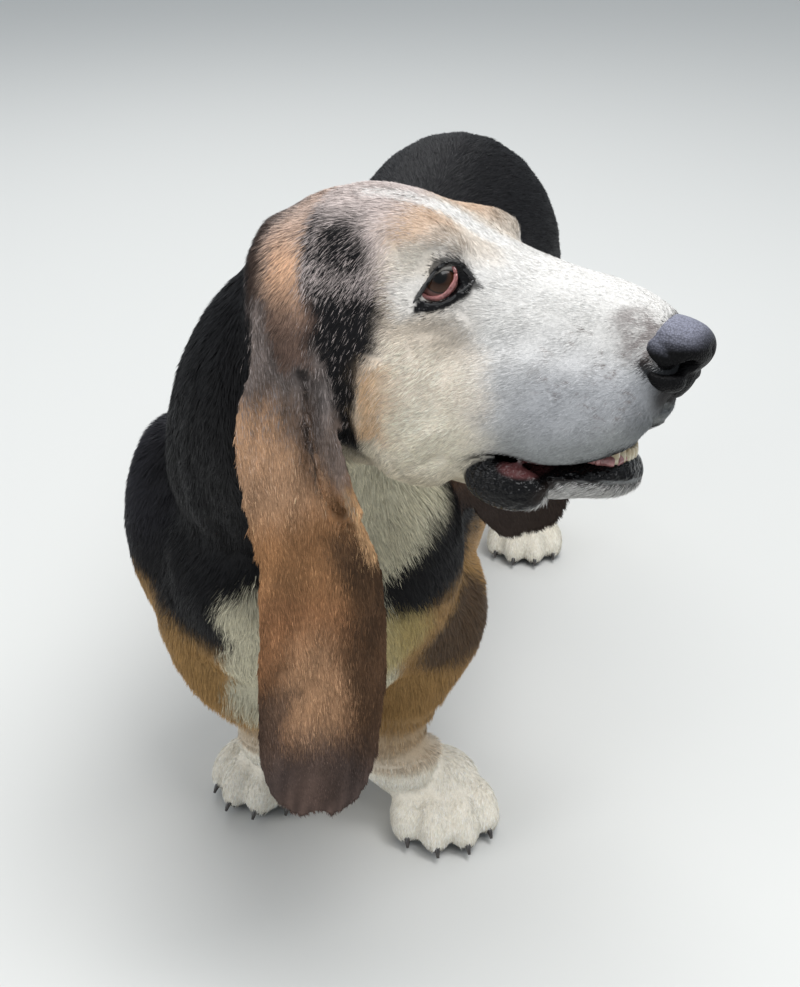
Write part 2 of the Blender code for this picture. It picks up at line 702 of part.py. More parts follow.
def shells(mesh):
    """The mesh's separate closed surfaces, the largest first."""
    work = bmesh.new()
    work.from_mesh(mesh)
    left = set(work.verts)
    groups = []
    while left:
        start = left.pop()
        group = {start}
        queue = [start]
        while queue:
            for edge in queue.pop().link_edges:
                for vert in edge.verts:
                    if vert in left:
                        left.discard(vert)
                        group.add(vert)
                        queue.append(vert)
        groups.append(sorted(v.index for v in group))
    work.free()
    made = []
    for group in groups:
        piece = bmesh.new()
        piece.from_mesh(mesh)
        keep = set(group)
        bmesh.ops.delete(piece, geom=[v for v in piece.verts if v.index not in keep], context="VERTS")
        size = abs(piece.calc_volume(signed=True))
        out = bpy.data.meshes.new("shell")
        piece.to_mesh(out)
        piece.free()
        made.append((size, out))
    made.sort(key=lambda pair: -pair[0])
    return [out for _, out in made]


def largest(mesh):
    return shells(mesh)[0]


def skin_clay():
    """Every part of flesh but the ears, the lower jaw and the nose, in one smooth skin."""
    place = head_matrix()
    skull = [moved(m, place) for m in skull_clay() + flew_clay() + throat_clay()]
    body = fused(torso_clay() + neck_clay() + tail_clay() + limbs_clay() + skull, CLAY_VOXEL, 16)
    face = [moved(m, place) for m in flew_clay()]
    return fused([body, *face, *paws_clay()], FORM_VOXEL, 4)


def finished(name, mesh):
    """The mesh as a node: triangles, smooth shading and its own material."""
    colour, roughness = LOOKS[name]
    work = bmesh.new()
    work.from_mesh(mesh)
    bmesh.ops.remove_doubles(work, verts=work.verts, dist=5e-6)
    bmesh.ops.triangulate(work, faces=work.faces)
    made = bpy.data.meshes.new(name)
    work.to_mesh(made)
    work.free()
    made.shade_smooth()
    material = bpy.data.materials.new(name)
    material.use_nodes = True
    shader = material.node_tree.nodes["Principled BSDF"]
    shader.inputs["Base Color"].default_value = (*colour, 1)
    shader.inputs["Roughness"].default_value = roughness
    made.materials.append(material)
    return new_object(name, made)


def head_nodes(skin):
    """The head and what sits in it: the lower jaw with its teeth, tongue, nose, eyes and ears."""
    place = head_matrix()

    def placed(meshes):
        return [moved(m, place) for m in meshes]

    tongue = fused(placed(tongue_clay()), 0.0015, 2)
    tongue = decimated(tongue, 160)
    jaw = decimated(fused(placed(jaw_clay()), 0.002, 4), 520)
    jaw = combined(jaw, [grown(tongue)], "DIFFERENCE")
    jaw = largest(combined(jaw, placed(teeth_clay()), "UNION"))
    nose = decimated(fused(placed(nose_clay()), 0.0012, 3), 320)
    nose = largest(combined(nose, placed(nostril_cutters()), "DIFFERENCE"))
    eyes = {"eye_left": eye_mesh(1, EYE_RADIUS), "eye_right": eye_mesh(-1, EYE_RADIUS)}
    sockets = [eye_mesh(side, EYE_RADIUS + GAP) for side in (1, -1)]
    ears = {"ear_left": left_ear(), "ear_right": right_ear()}
    head = decimated(sliced(skin, HEAD_CUT - 0.006 * HEAD_CUT_NORMAL, HEAD_CUT_NORMAL), 1900)
    head = combined(head, [half_space(HEAD_CUT, HEAD_CUT_NORMAL, GAP / 2)], "INTERSECT")
    head = combined(head, placed(eye_opening()), "DIFFERENCE")
    head = combined(head, placed(lids_clay()), "UNION")
    tools = [grown(m) for m in (jaw, tongue, nose, *ears.values())] + sockets
    head = largest(combined(head, tools, "DIFFERENCE"))
    return {"head": head, "lower_jaw": jaw, "tongue": tongue, "nose": nose, **eyes, **ears}


def paw_nodes(skin):
    """The four paws with their claws, cut flat where they stand."""
    slab = sliced(skin, (0, 0, PAW_TOP + 0.004), (0, 0, -1))
    feet = [("front", side, paw, turn, FORE_PAW_SIZE) for side, _, paw, turn in FORE_FEET]
    feet += [("hind", side, paw, turn, HIND_PAW_SIZE) for side, paw, turn in HIND_FEET]
    nodes = {}
    for mesh in shells(slab)[:4]:
        middle = sum((v.co for v in mesh.vertices), Vector()) / len(mesh.vertices)
        end, side, paw, turn, size = min(feet, key=lambda f: (middle.xy - Vector(f[2])).length)
        mesh = decimated(mesh, 330)
        mesh = combined(mesh, [moved(m, place_paw(*paw, side * turn)) for m in claws_clay(size)], "UNION")
        limits = [half_space((0, 0, PAW_TOP), (0, 0, -1), GAP / 2), half_space((0, 0, 0), (0, 0, 1))]
        nodes[f"paw_{end}_{'left' if side > 0 else 'right'}"] = largest(combined(mesh, limits, "INTERSECT"))
    return nodes


def body_nodes(skin):
    """The neck, the torso, the tail and the four legs."""
    rest = sliced(skin, (0, 0, PAW_TOP - 0.004), (0, 0, 1))
    rest = sliced(rest, HEAD_CUT + 0.006 * HEAD_CUT_NORMAL, -HEAD_CUT_NORMAL)
    rest = decimated(rest, 2600)
    limits = [
        half_space((0, 0, PAW_TOP), (0, 0, 1), GAP / 2),
        half_space(HEAD_CUT, -HEAD_CUT_NORMAL, GAP / 2),
    ]
    rest = combined(rest, limits, "INTERSECT")
    nodes = {}
    wider = []
    for side, wrist, paw, _ in FORE_FEET:
        name = f"leg_front_{'left' if side > 0 else 'right'}"
        space = fore_leg_region(side, wrist, paw)
        nodes[name] = largest(combined(rest.copy(), [space.copy()], "INTERSECT"))
        wider.append(grown(space))
    for side, paw, _ in HIND_FEET:
        name = f"leg_hind_{'left' if side > 0 else 'right'}"
        space = hind_leg_region(side, paw)
        nodes[name] = largest(combined(rest.copy(), [space.copy()], "INTERSECT"))
        wider.append(grown(space))
    neck = combined(rest.copy(), [half_space(NECK_CUT, NECK_CUT_NORMAL, GAP / 2)], "INTERSECT")
    nodes["neck"] = largest(combined(neck, [grown(left_ear()), grown(right_ear())], "DIFFERENCE"))
    tail = combined(rest.copy(), [half_space(TAIL_CUT, TAIL_CUT_NORMAL, GAP / 2)], "INTERSECT")
    nodes["tail"] = largest(tail)
    torso = combined(rest, [
        half_space(NECK_CUT, -NECK_CUT_NORMAL, GAP / 2),
        half_space(TAIL_CUT, -TAIL_CUT_NORMAL, GAP / 2),
    ], "INTERSECT")
    nodes["torso"] = largest(combined(torso, wider, "DIFFERENCE"))
    return nodes


def main():
    for old in list(bpy.data.objects):
        bpy.data.objects.remove(old)
    skin = skin_clay()
    nodes = {**head_nodes(skin), **body_nodes(skin), **paw_nodes(skin)}
    made = [finished(name, mesh) for name, mesh in nodes.items()]
    corners = np.array([v.co for obj in made for v in obj.data.vertices])
    low, high = corners.min(axis=0), corners.max(axis=0)
    shift = Matrix.Translation((-(low[0] + high[0]) / 2, -(low[1] + high[1]) / 2, -low[2]))
    for obj in made:
        obj.data.transform(shift)


main()
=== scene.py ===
import math

import bmesh
import bpy
import numpy as np
from mathutils import Euler, Matrix, Vector
from mathutils.bvhtree import BVHTree


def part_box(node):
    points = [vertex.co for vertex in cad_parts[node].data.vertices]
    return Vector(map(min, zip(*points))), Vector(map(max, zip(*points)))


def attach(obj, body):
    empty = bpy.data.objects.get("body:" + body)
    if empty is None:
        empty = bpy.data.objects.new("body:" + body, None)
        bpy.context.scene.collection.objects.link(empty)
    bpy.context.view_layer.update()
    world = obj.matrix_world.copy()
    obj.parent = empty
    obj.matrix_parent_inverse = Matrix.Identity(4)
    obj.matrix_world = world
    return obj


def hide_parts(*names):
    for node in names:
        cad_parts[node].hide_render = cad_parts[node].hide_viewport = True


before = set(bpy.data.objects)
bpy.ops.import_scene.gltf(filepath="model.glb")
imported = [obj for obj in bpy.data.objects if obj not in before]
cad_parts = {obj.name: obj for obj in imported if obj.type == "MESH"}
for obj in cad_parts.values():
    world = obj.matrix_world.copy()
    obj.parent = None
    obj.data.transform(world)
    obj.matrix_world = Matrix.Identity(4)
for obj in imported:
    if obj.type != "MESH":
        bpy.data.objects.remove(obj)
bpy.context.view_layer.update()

# Driving dimensions of the solids, in metres. The design frame has its origin on the floor midway between
# the fore paws, with +X to the dog's left and the dog looking along -Y.
WITHERS = 0.360
CHEST_HALF_WIDTH = 0.106
BODY_START = -0.135
BODY_END = 0.540
WHEELBASE = 0.409
EYE_RADIUS = 0.0120
EYE_CENTRE = Vector((-0.0070, 0.0325, 0.0050))

# Each foot: its side (1 is left), for a fore foot the wrist's place, then the paw's place and how far it turns out.
FORE_FEET = (
    (1, (0.054, -0.012), (0.091, -0.004), 24),
    (-1, (-0.026, -0.012), (-0.032, 0.006), 12),
)
HIND_FEET = (
    (1, (0.078, WHEELBASE), 10),
    (-1, (-0.064, WHEELBASE + 0.010), 8),
)

# The head has its own frame: +X to the nose, +Y to its left, +Z to the crown, origin between the eyes.
HEAD_AT = Vector((0.143, -0.149, 0.458))
HEAD_YAW = math.radians(77.0)
HEAD_PITCH = math.radians(2.5)
HEAD_ROLL = math.radians(7.7)
HEAD_CUT = Vector((0.0200, -0.1220, 0.4600))
HEAD_CUT_NORMAL = Vector((0.80, -0.18, 0.57)).normalized()

# The toes of a left paw, seen from above, before the paw's own scale.
TOES = ((-0.027, -0.026), (-0.010, -0.041), (0.010, -0.041), (0.027, -0.026))
FORE_PAW_SIZE = 0.96
HIND_PAW_SIZE = 0.86

CLAY_VOXEL = 0.005
SKIN_VOXEL = 0.0024
EAR_CLAY_HALF = 0.0030
ROUND_SIDES = 20
PATH_STEPS = 5

# Coat colours, as the hair's own reflectance; but the grey is painted shade for the white muzzle's underside, the
# nose's grey is a painted sheen on its top, and where the yellow is used it carries painted yellow bounce light as well
# as the coat's cream.
BLACK = np.array((0.0075, 0.0071, 0.0080))
WHITE = np.array((0.76, 0.74, 0.71))
PAINTED_SHADE_GREY = np.array((0.52, 0.53, 0.56))
CREAM = np.array((0.62, 0.53, 0.43))
YELLOW = np.array((0.56, 0.50, 0.36))
TAN = np.array((0.42, 0.245, 0.120))
FAWN = np.array((0.60, 0.42, 0.29))
BROWN = np.array((0.285, 0.137, 0.064))
GREIGE = np.array((0.42, 0.36, 0.34))
UMBER = np.array((0.075, 0.050, 0.040))
LIP_BLACK = np.array((0.0042, 0.0038, 0.0042))
GUM_PINK = np.array((0.42, 0.15, 0.15))
NOSE_BLACK = np.array((0.0060, 0.0058, 0.0062))
NOSE_PAINTED_SHEEN = np.array((0.270, 0.276, 0.345))

rng = np.random.default_rng(11)


def head_matrix():
    """The head's place: turned to the dog's left, nose a little up, far side a little down."""
    turn = Euler((-HEAD_ROLL, -HEAD_PITCH, HEAD_YAW - math.pi / 2), "XYZ").to_matrix()
    return Matrix.Translation(HEAD_AT) @ turn.to_4x4()


def smooth_rows(rows, steps=PATH_STEPS):
    """Rows of numbers made denser along a Catmull-Rom curve, steps rows for each span."""
    rows = np.array(rows, float)
    padded = np.vstack([2 * rows[0] - rows[1], rows, 2 * rows[-1] - rows[-2]])
    made = []
    for before, start, end, after in zip(padded, padded[1:], padded[2:], padded[3:]):
        for t in np.arange(steps) / steps:
            slope = end - before
            bend = 2 * before - 5 * start + 4 * end - after
            twist = 3 * start - before - 3 * end + after
            made.append(0.5 * (2 * start + slope * t + bend * t * t + twist * t**3))
    made.append(rows[-1])
    return np.array(made)


def unit(vector):
    return vector / np.linalg.norm(vector)


def loft(stations, across=(1, 0, 0), sides=ROUND_SIDES, steps=PATH_STEPS):
    """A closed tube through stations of x, y, z, half width, half height above and half height below."""
    rows = smooth_rows(stations, steps)
    angles = np.arange(sides) * 2 * math.pi / sides
    points = []
    for i, row in enumerate(rows):
        ahead = unit(rows[min(i + 1, len(rows) - 1), :3] - rows[max(i - 1, 0), :3])
        side = np.array(across, float)
        side = unit(side - ahead * side.dot(ahead))
        upward = np.cross(ahead, side) if np.cross(ahead, side)[2] >= 0 else np.cross(side, ahead)
        width, above, below = np.maximum(row[3:6], 0.001)
        for angle in angles:
            height = above if math.sin(angle) > 0 else below
            points.append(row[:3] + side * width * math.cos(angle) + upward * height * math.sin(angle))
    faces = []
    for i in range(len(rows) - 1):
        for j in range(sides):
            k = (j + 1) % sides
            faces.append((i * sides + j, i * sides + k, (i + 1) * sides + k, (i + 1) * sides + j))
    faces.append(tuple(reversed(range(sides))))
    faces.append(tuple(range((len(rows) - 1) * sides, len(rows) * sides)))
    mesh = bpy.data.meshes.new("loft")
    mesh.from_pydata([tuple(p) for p in points], [], faces)
    return outward(mesh)


def outward(mesh):
    """The mesh with its faces pointing out."""
    work = bmesh.new()
    work.from_mesh(mesh)
    bmesh.ops.recalc_face_normals(work, faces=work.faces)
    work.to_mesh(mesh)
    work.free()
    return mesh


def blob(centre, radii, turn=(0, 0, 0), detail=3):
    """An ellipsoid with its own half sizes, turned by degrees about X, Y and Z."""
    place = Matrix.Translation(centre) @ Euler([math.radians(a) for a in turn]).to_matrix().to_4x4()
    work = bmesh.new()
    bmesh.ops.create_icosphere(work, subdivisions=detail, radius=1.0)
    bmesh.ops.transform(work, matrix=place @ Matrix.Diagonal((*radii, 1.0)), verts=work.verts)
    mesh = bpy.data.meshes.new("blob")
    work.to_mesh(mesh)
    work.free()
    return mesh


def moved(mesh, matrix):
    """A copy of the mesh, carried by the matrix, with its faces still pointing out where it mirrors."""
    copy = mesh.copy()
    copy.transform(matrix)
    if matrix.determinant() < 0:
        copy.flip_normals()
    return copy


def both_sides(meshes):
    """The meshes and their mirror images across Y = 0, the head's own middle plane."""
    flip = Matrix.Diagonal((1, -1, 1, 1))
    return list(meshes) + [moved(m, flip) for m in meshes]


def new_object(name, mesh):
    made = bpy.data.objects.new(name, mesh)
    bpy.context.scene.collection.objects.link(made)
    return made


def joined(meshes):
    """One mesh that holds them all, still as separate shells."""
    work = bmesh.new()
    for mesh in meshes:
        work.from_mesh(mesh)
    made = bpy.data.meshes.new("joined")
    work.to_mesh(made)
    work.free()
    return made


def evaluated(obj):
    """The object's mesh with its modifiers applied; the object is removed."""
    graph = bpy.context.evaluated_depsgraph_get()
    made = bpy.data.meshes.new_from_object(obj.evaluated_get(graph))
    bpy.data.objects.remove(obj)
    return made


def fused(meshes, voxel, rounds, factor=0.5):
    """The meshes joined as one skin, by a voxel remesh and a few rounds of smoothing."""
    work = new_object("fused", joined(meshes))
    remesh = work.modifiers.new("Remesh", "REMESH")
    remesh.mode = "VOXEL"
    remesh.voxel_size = voxel
    smooth = work.modifiers.new("Smooth", "SMOOTH")
    smooth.factor = factor
    smooth.iterations = rounds
    return evaluated(work)


def torso_clay():
    """Chest, ribs, loin and rump, as one loft along the back."""
    wide = CHEST_HALF_WIDTH
    return [
        loft([
            (0, BODY_START, 0.205, 0.020, 0.020, 0.020),
            (0, -0.118, 0.215, 0.52 * wide, 0.060, 0.062),
            (0, -0.085, 0.210, 0.79 * wide, 0.108, 0.095),
            (0, -0.030, 0.208, 0.96 * wide, 0.145, 0.108),
            (0, 0.040, 0.208, wide, WITHERS - 0.208, 0.110),
            (0, 0.130, 0.215, wide, 0.138, 0.112),
            (0, 0.220, 0.235, 0.98 * wide, 0.117, 0.120),
            (0, 0.300, 0.245, 0.95 * wide, 0.112, 0.108),
            (0, 0.370, 0.255, 0.92 * wide, 0.115, 0.092),
            (0, 0.430, 0.260, 0.92 * wide, 0.118, 0.080),
            (0, 0.480, 0.262, 0.84 * wide, 0.107, 0.070),
            (0, 0.520, 0.262, 0.58 * wide, 0.078, 0.055),
            (0, BODY_END, 0.262, 0.020, 0.030, 0.020),
        ]),
        blob((0.002, -0.088, 0.240), (0.070, 0.050, 0.085), (-10, 0, 0)),
    ]


def neck_clay():
    """The neck, from inside the shoulders to inside the skull, with the dewlap's slack skin under it."""
    return [
        loft([
            (0.000, 0.050, 0.240, 0.070, 0.080, 0.080),
            (0.002, -0.020, 0.272, 0.076, 0.082, 0.085),
            (0.008, -0.072, 0.318, 0.073, 0.066, 0.082),
            (0.020, -0.108, 0.362, 0.065, 0.056, 0.076),
            (0.039, -0.130, 0.400, 0.059, 0.054, 0.072),
            (0.066, -0.142, 0.428, 0.052, 0.050, 0.062),
            (0.105, -0.146, 0.438, 0.040, 0.040, 0.050),
        ])
    ]


def fore_leg_clay(side, wrist, paw):
    """A fore leg down to the pastern: side is 1 for the left one, wrist and paw are places seen from above."""
    (wrist_x, wrist_y), (paw_x, paw_y) = wrist, paw
    elbow_x = side * 0.088
    return [
        blob((side * 0.074, -0.035, 0.232), (0.038, 0.060, 0.088), (18, 0, 0)),
        blob((side * 0.078, 0.000, 0.172), (0.033, 0.048, 0.055)),
        loft([
            (side * 0.084, 0.022, 0.190, 0.030, 0.034, 0.034),
            (elbow_x, 0.012, 0.150, 0.032, 0.037, 0.036),
            (0.5 * elbow_x + 0.5 * wrist_x, -0.004, 0.112, 0.029, 0.031, 0.030),
            (0.15 * elbow_x + 0.85 * wrist_x, wrist_y - 0.002, 0.082, 0.026, 0.027, 0.027),
            (0.9 * wrist_x + 0.1 * paw_x, wrist_y - 0.004, 0.060, 0.027, 0.027, 0.027),
            (0.4 * wrist_x + 0.6 * paw_x, 0.5 * wrist_y + 0.5 * paw_y, 0.036, 0.029, 0.028, 0.026),
        ]),
    ]


def hind_leg_clay(side, paw):
    """A hind leg down to the pastern: side is 1 for the left one, paw is its place seen from above."""
    x, y = paw
    return [
        blob((side * 0.052, 0.425, 0.240), (0.044, 0.078, 0.100), (-15, 0, 0)),
        blob((side * 0.068, 0.378, 0.180), (0.032, 0.046, 0.050)),
        loft([
            (side * 0.068, 0.375, 0.185, 0.032, 0.045, 0.045),
            (0.5 * side * 0.070 + 0.5 * x, 0.410, 0.152, 0.030, 0.038, 0.038),
            (x - side * 0.004, y + 0.050, 0.122, 0.024, 0.026, 0.026),
            (x - side * 0.006, y + 0.072, 0.102, 0.021, 0.023, 0.023),
            (x - side * 0.006, y + 0.066, 0.078, 0.020, 0.020, 0.020),
            (x - side * 0.004, y + 0.048, 0.050, 0.021, 0.021, 0.021),
            (x, y + 0.032, 0.030, 0.024, 0.022, 0.022),
        ]),
    ]


def paw_clay(size):
    """A left paw at the origin, toes towards -Y."""
    toes = [
        loft([
            (x * 0.7, y + 0.030, 0.024, 0.011, 0.014, 0.014),
            (x, y + 0.008, 0.024, 0.0125, 0.015, 0.014),
            (x * 1.08, y - 0.006, 0.016, 0.0120, 0.012, 0.015),
            (x * 1.10, y - 0.014, 0.010, 0.006, 0.006, 0.008),
        ])
        for x, y in TOES
    ]
    pad = blob((0, 0.004, 0.024), (0.034, 0.040, 0.026))
    return [moved(m, Matrix.Scale(size, 4)) for m in [pad, *toes]]


def claws_clay(size):
    """The four claws of a left paw, their roots deep in the toes."""
    claws = []
    for x, y in TOES:
        claws.append(loft([
            (x * 1.06, y - 0.002, 0.0140, 0.0027, 0.0031, 0.0031),
            (x * 1.11, y - 0.012, 0.0118, 0.0025, 0.0030, 0.0030),
            (x * 1.14, y - 0.0165, 0.0092, 0.0019, 0.0022, 0.0022),
            (x * 1.15, y - 0.0195, 0.0058, 0.0006, 0.0008, 0.0008),
        ], sides=6, steps=1))
    return [moved(m, Matrix.Scale(size, 4)) for m in claws]


def place_paw(x, y, turn):
    return Matrix.Translation((x, y, -0.002)) @ Matrix.Rotation(math.radians(turn), 4, "Z")


def tail_clay():
    """The tail at rest, hanging behind the rump with its tip bent back."""
    return [
        loft([
            (0, 0.490, 0.335, 0.028, 0.026, 0.026),
            (0, 0.540, 0.324, 0.022, 0.022, 0.022),
            (0, 0.578, 0.282, 0.017, 0.018, 0.018),
            (0.002, 0.596, 0.218, 0.014, 0.015, 0.015),
            (0.006, 0.608, 0.158, 0.011, 0.012, 0.012),
            (0.012, 0.628, 0.106, 0.008, 0.009, 0.009),
            (0.018, 0.656, 0.080, 0.003, 0.004, 0.004),
        ])
    ]


def skull_clay():
    """Cranium, muzzle, cheeks and brows in the head's frame."""
    core = loft([
        (-0.128, 0, 0.012, 0.014, 0.014, 0.014),
        (-0.115, 0, 0.004, 0.036, 0.038, 0.032),
        (-0.090, 0, -0.006, 0.052, 0.053, 0.048),
        (-0.060, 0, -0.012, 0.056, 0.059, 0.054),
        (-0.030, 0, -0.018, 0.053, 0.058, 0.052),
        (0.000, 0, -0.022, 0.045, 0.050, 0.048),
        (0.022, 0, -0.024, 0.037, 0.045, 0.044),
        (0.045, 0, -0.026, 0.031, 0.042, 0.040),
        (0.070, 0, -0.026, 0.028, 0.039, 0.036),
        (0.092, 0, -0.024, 0.026, 0.032, 0.032),
        (0.106, 0, -0.0215, 0.021, 0.023, 0.0235),
        (0.112, 0, -0.0200, 0.014, 0.015, 0.0155),
    ], across=(0, 1, 0))
    sides = both_sides([
        blob((-0.045, 0.037, -0.040), (0.050, 0.022, 0.046)),
        blob((-0.015, 0.031, 0.022), (0.026, 0.014, 0.0145), (0, 10, 12)),
        blob((-0.024, 0.043, -0.014), (0.034, 0.011, 0.014), (0, -10, -8)),
        blob((-0.018, 0.033, -0.072), (0.038, 0.015, 0.036)),
        blob((-0.098, 0.028, 0.016), (0.018, 0.018, 0.017)),
        loft([
            (-0.094, 0.034, 0.016, 0.020, 0.016, 0.016),
            (-0.091, 0.050, 0.002, 0.021, 0.016, 0.016),
            (-0.086, 0.058, -0.022, 0.020, 0.013, 0.013),
            (-0.080, 0.060, -0.046, 0.016, 0.009, 0.009),
        ], across=(1, 0, 0)),
    ])
    return [core, *sides]


def flew_clay():
    """The upper lips, hanging past the jaw on both sides."""
    lip = loft([
        (0.0980, 0.004, -0.0395, 0.006, 0.010, 0.0150),
        (0.0935, 0.012, -0.0425, 0.010, 0.015, 0.0180),
        (0.089, 0.019, -0.0440, 0.012, 0.021, 0.0235),
        (0.080, 0.0245, -0.0465, 0.012, 0.023, 0.0275),
        (0.067, 0.028, -0.0490, 0.012, 0.026, 0.0305),
        (0.050, 0.031, -0.0510, 0.012, 0.028, 0.0315),
        (0.036, 0.034, -0.0510, 0.012, 0.028, 0.0285),
        (0.020, 0.036, -0.0520, 0.011, 0.028, 0.0285),
        (0.004, 0.037, -0.0540, 0.011, 0.028, 0.0330),
        (-0.012, 0.037, -0.0540, 0.010, 0.024, 0.0320),
    ], across=(0, 1, 0))
    return both_sides([lip])


def jaw_stations():
    """The lower jaw's sections, from the chin back."""
    rows = (
        (0.0900, -0.0835, 0.009, 0.0055, 0.0085),
        (0.0862, -0.0852, 0.0165, 0.0085, 0.0125),
        (0.0790, -0.0875, 0.0230, 0.0100, 0.0145),
        (0.0650, -0.0900, 0.0270, 0.0098, 0.0148),
        (0.0500, -0.0915, 0.0290, 0.0090, 0.0160),
        (0.0300, -0.0935, 0.0310, 0.0085, 0.0150),
        (0.0120, -0.0930, 0.0320, 0.0090, 0.0150),
        (-0.010, -0.0880, 0.0320, 0.0140, 0.0180),
    )
    return [(x, 0, *rest) for x, *rest in rows]


def throat_clay():
    """The throat under the skull, behind the lower jaw."""
    return [loft([
        (-0.005, 0, -0.088, 0.028, 0.018, 0.018),
        (-0.030, 0, -0.078, 0.036, 0.028, 0.032),
        (-0.065, 0, -0.062, 0.040, 0.034, 0.050),
        (-0.095, 0, -0.042, 0.038, 0.030, 0.050),
        (-0.125, 0, -0.030, 0.030, 0.020, 0.040),
    ], across=(0, 1, 0))]


def jaw_clay():
    """The lower jaw with the slack lip at each corner of the mouth."""
    corner = blob((0.033, 0.0335, -0.0955), (0.0235, 0.0085, 0.0130), (0, 6, -4))
    return [loft(jaw_stations(), across=(0, 1, 0)), *both_sides([corner])]


def tongue_clay():
    """The tongue, lying in the jaw behind the teeth."""
    return [loft([
        (0.070, 0, -0.0770, 0.008, 0.0025, 0.0025),
        (0.062, 0, -0.0760, 0.013, 0.0035, 0.0035),
        (0.040, 0, -0.0770, 0.017, 0.0045, 0.0035),
        (0.018, 0, -0.0780, 0.018, 0.0060, 0.0040),
        (-0.002, 0, -0.0770, 0.016, 0.0060, 0.0040),
    ], across=(0, 1, 0), sides=14, steps=3)]


def nose_clay():
    """The nose leather: a broad pad whose front slopes back to a narrow foot on the lip, wings at its sides."""
    return [
        loft([
            (0.0880, 0, -0.0180, 0.0150, 0.0115, 0.0100),
            (0.0960, 0, -0.0180, 0.0190, 0.0134, 0.0135),
            (0.1040, 0, -0.0180, 0.0204, 0.0135, 0.0160),
            (0.1100, 0, -0.0180, 0.0200, 0.0126, 0.0165),
            (0.1150, 0, -0.0180, 0.0184, 0.0110, 0.0150),
            (0.1192, 0, -0.0180, 0.0156, 0.0090, 0.0120),
            (0.1224, 0, -0.0178, 0.0116, 0.0064, 0.0080),
            (0.1245, 0, -0.0175, 0.0060, 0.0032, 0.0038),
        ], across=(0, 1, 0)),
        blob((0.1105, 0, -0.0340), (0.0068, 0.0090, 0.0135), (0, 25, 0)),
        *both_sides([
            blob((0.1005, 0.0142, -0.0200), (0.0125, 0.0080, 0.0085), (0, 25, 8)),
            blob((0.1020, 0.0118, -0.0305), (0.0150, 0.0108, 0.0085), (0, 25, 0)),
        ]),
    ]


def nostril_cutters():
    """A forward hole on each side of the nose and the slit that curls back from it under the wing."""
    slit = loft([
        (0.0955, 0.0245, -0.0175, 0.0012, 0.0012, 0.0012),
        (0.1000, 0.0235, -0.0240, 0.0014, 0.0014, 0.0014),
        (0.1060, 0.0205, -0.0300, 0.0016, 0.0016, 0.0016),
        (0.1105, 0.0165, -0.0318, 0.0020, 0.0020, 0.0020),
        (0.1145, 0.0120, -0.0295, 0.0026, 0.0026, 0.0026),
        (0.1180, 0.0090, -0.0250, 0.0032, 0.0032, 0.0032),
        (0.1200, 0.0075, -0.0205, 0.0028, 0.0028, 0.0028),
    ], across=(0, 1, 0), sides=10, steps=3)
    hole = blob((0.1160, 0.0078, -0.0225), (0.0070, 0.0034, 0.0044), (0, 20, -20), 2)
    return both_sides([slit, hole])


def limbs_clay():
    """The four legs."""
    legs = []
    for side, wrist, paw, _ in FORE_FEET:
        legs += fore_leg_clay(side, wrist, paw)
    for side, paw, _ in HIND_FEET:
        legs += hind_leg_clay(side, paw)
    return legs


def paws_clay():
    """The four paws in their places, each turned out by its own angle."""
    paws = []
    for side, _, paw, turn in FORE_FEET:
        paws += [moved(m, place_paw(*paw, side * turn)) for m in paw_clay(FORE_PAW_SIZE)]
    for side, paw, turn in HIND_FEET:
        paws += [moved(m, place_paw(*paw, side * turn)) for m in paw_clay(HIND_PAW_SIZE)]
    return paws


def combined(mesh, others, operation):
    """The mesh after an exact Boolean with each of the others in turn."""
    for other in others:
        work = new_object("work", mesh)
        tool = new_object("tool", other)
        modifier = work.modifiers.new("Boolean", "BOOLEAN")
        modifier.operation = operation
        modifier.solver = "EXACT"
        modifier.object = tool
        mesh = evaluated(work)
        bpy.data.objects.remove(tool)
    return mesh


def shells(mesh):
    """The mesh's separate closed surfaces, the largest first."""
    work = bmesh.new()
    work.from_mesh(mesh)
    left = set(work.verts)
    groups = []
    while left:
        start = left.pop()
        group = {start}
        queue = [start]
        while queue:
            for edge in queue.pop().link_edges:
                for vert in edge.verts:
                    if vert in left:
                        left.discard(vert)
                        group.add(vert)
                        queue.append(vert)
        groups.append(sorted(v.index for v in group))
    work.free()
    made = []
    for group in groups:
        piece = bmesh.new()
        piece.from_mesh(mesh)
        keep = set(group)
        bmesh.ops.delete(piece, geom=[v for v in piece.verts if v.index not in keep], context="VERTS")
        size = abs(piece.calc_volume(signed=True))
        out = bpy.data.meshes.new("shell")
        piece.to_mesh(out)
        piece.free()
        made.append((size, out))
    made.sort(key=lambda pair: -pair[0])
    return [out for _, out in made]


def largest(mesh):
    return shells(mesh)[0]


def cut_through(mesh, tools):
    """The mesh after the tools are cut away from it."""
    return combined(mesh, tools, "DIFFERENCE")


# The middle of each lid's edge and of the pink inner lid, for the left eye in the head's frame.
UPPER_LID = (
    (-0.0152, 0.0475, -0.0051), (-0.0115, 0.0475, 0.0008), (-0.0084, 0.0465, 0.0063),
    (-0.0054, 0.0450, 0.0113), (-0.0022, 0.0430, 0.0151), (0.0009, 0.0405, 0.0167),
    (0.0043, 0.0385, 0.0158), (0.0076, 0.0360, 0.0123), (0.0110, 0.0335, 0.0077),
)
LOWER_LID = (
    (-0.0152, 0.0475, -0.0051), (-0.0106, 0.0468, -0.0045), (-0.0062, 0.0458, -0.0046),
    (-0.0013, 0.0445, -0.0038), (0.0025, 0.0425, -0.0016), (0.0056, 0.0400, 0.0013),
    (0.0084, 0.0370, 0.0043), (0.0110, 0.0335, 0.0077),
)
LID_SHADE = (
    (-0.0145, 0.0492, -0.0074), (-0.0108, 0.0485, -0.0068), (-0.0037, 0.0463, -0.0055),
    (0.0032, 0.0437, -0.0027), (0.0080, 0.0404, 0.0011),
)
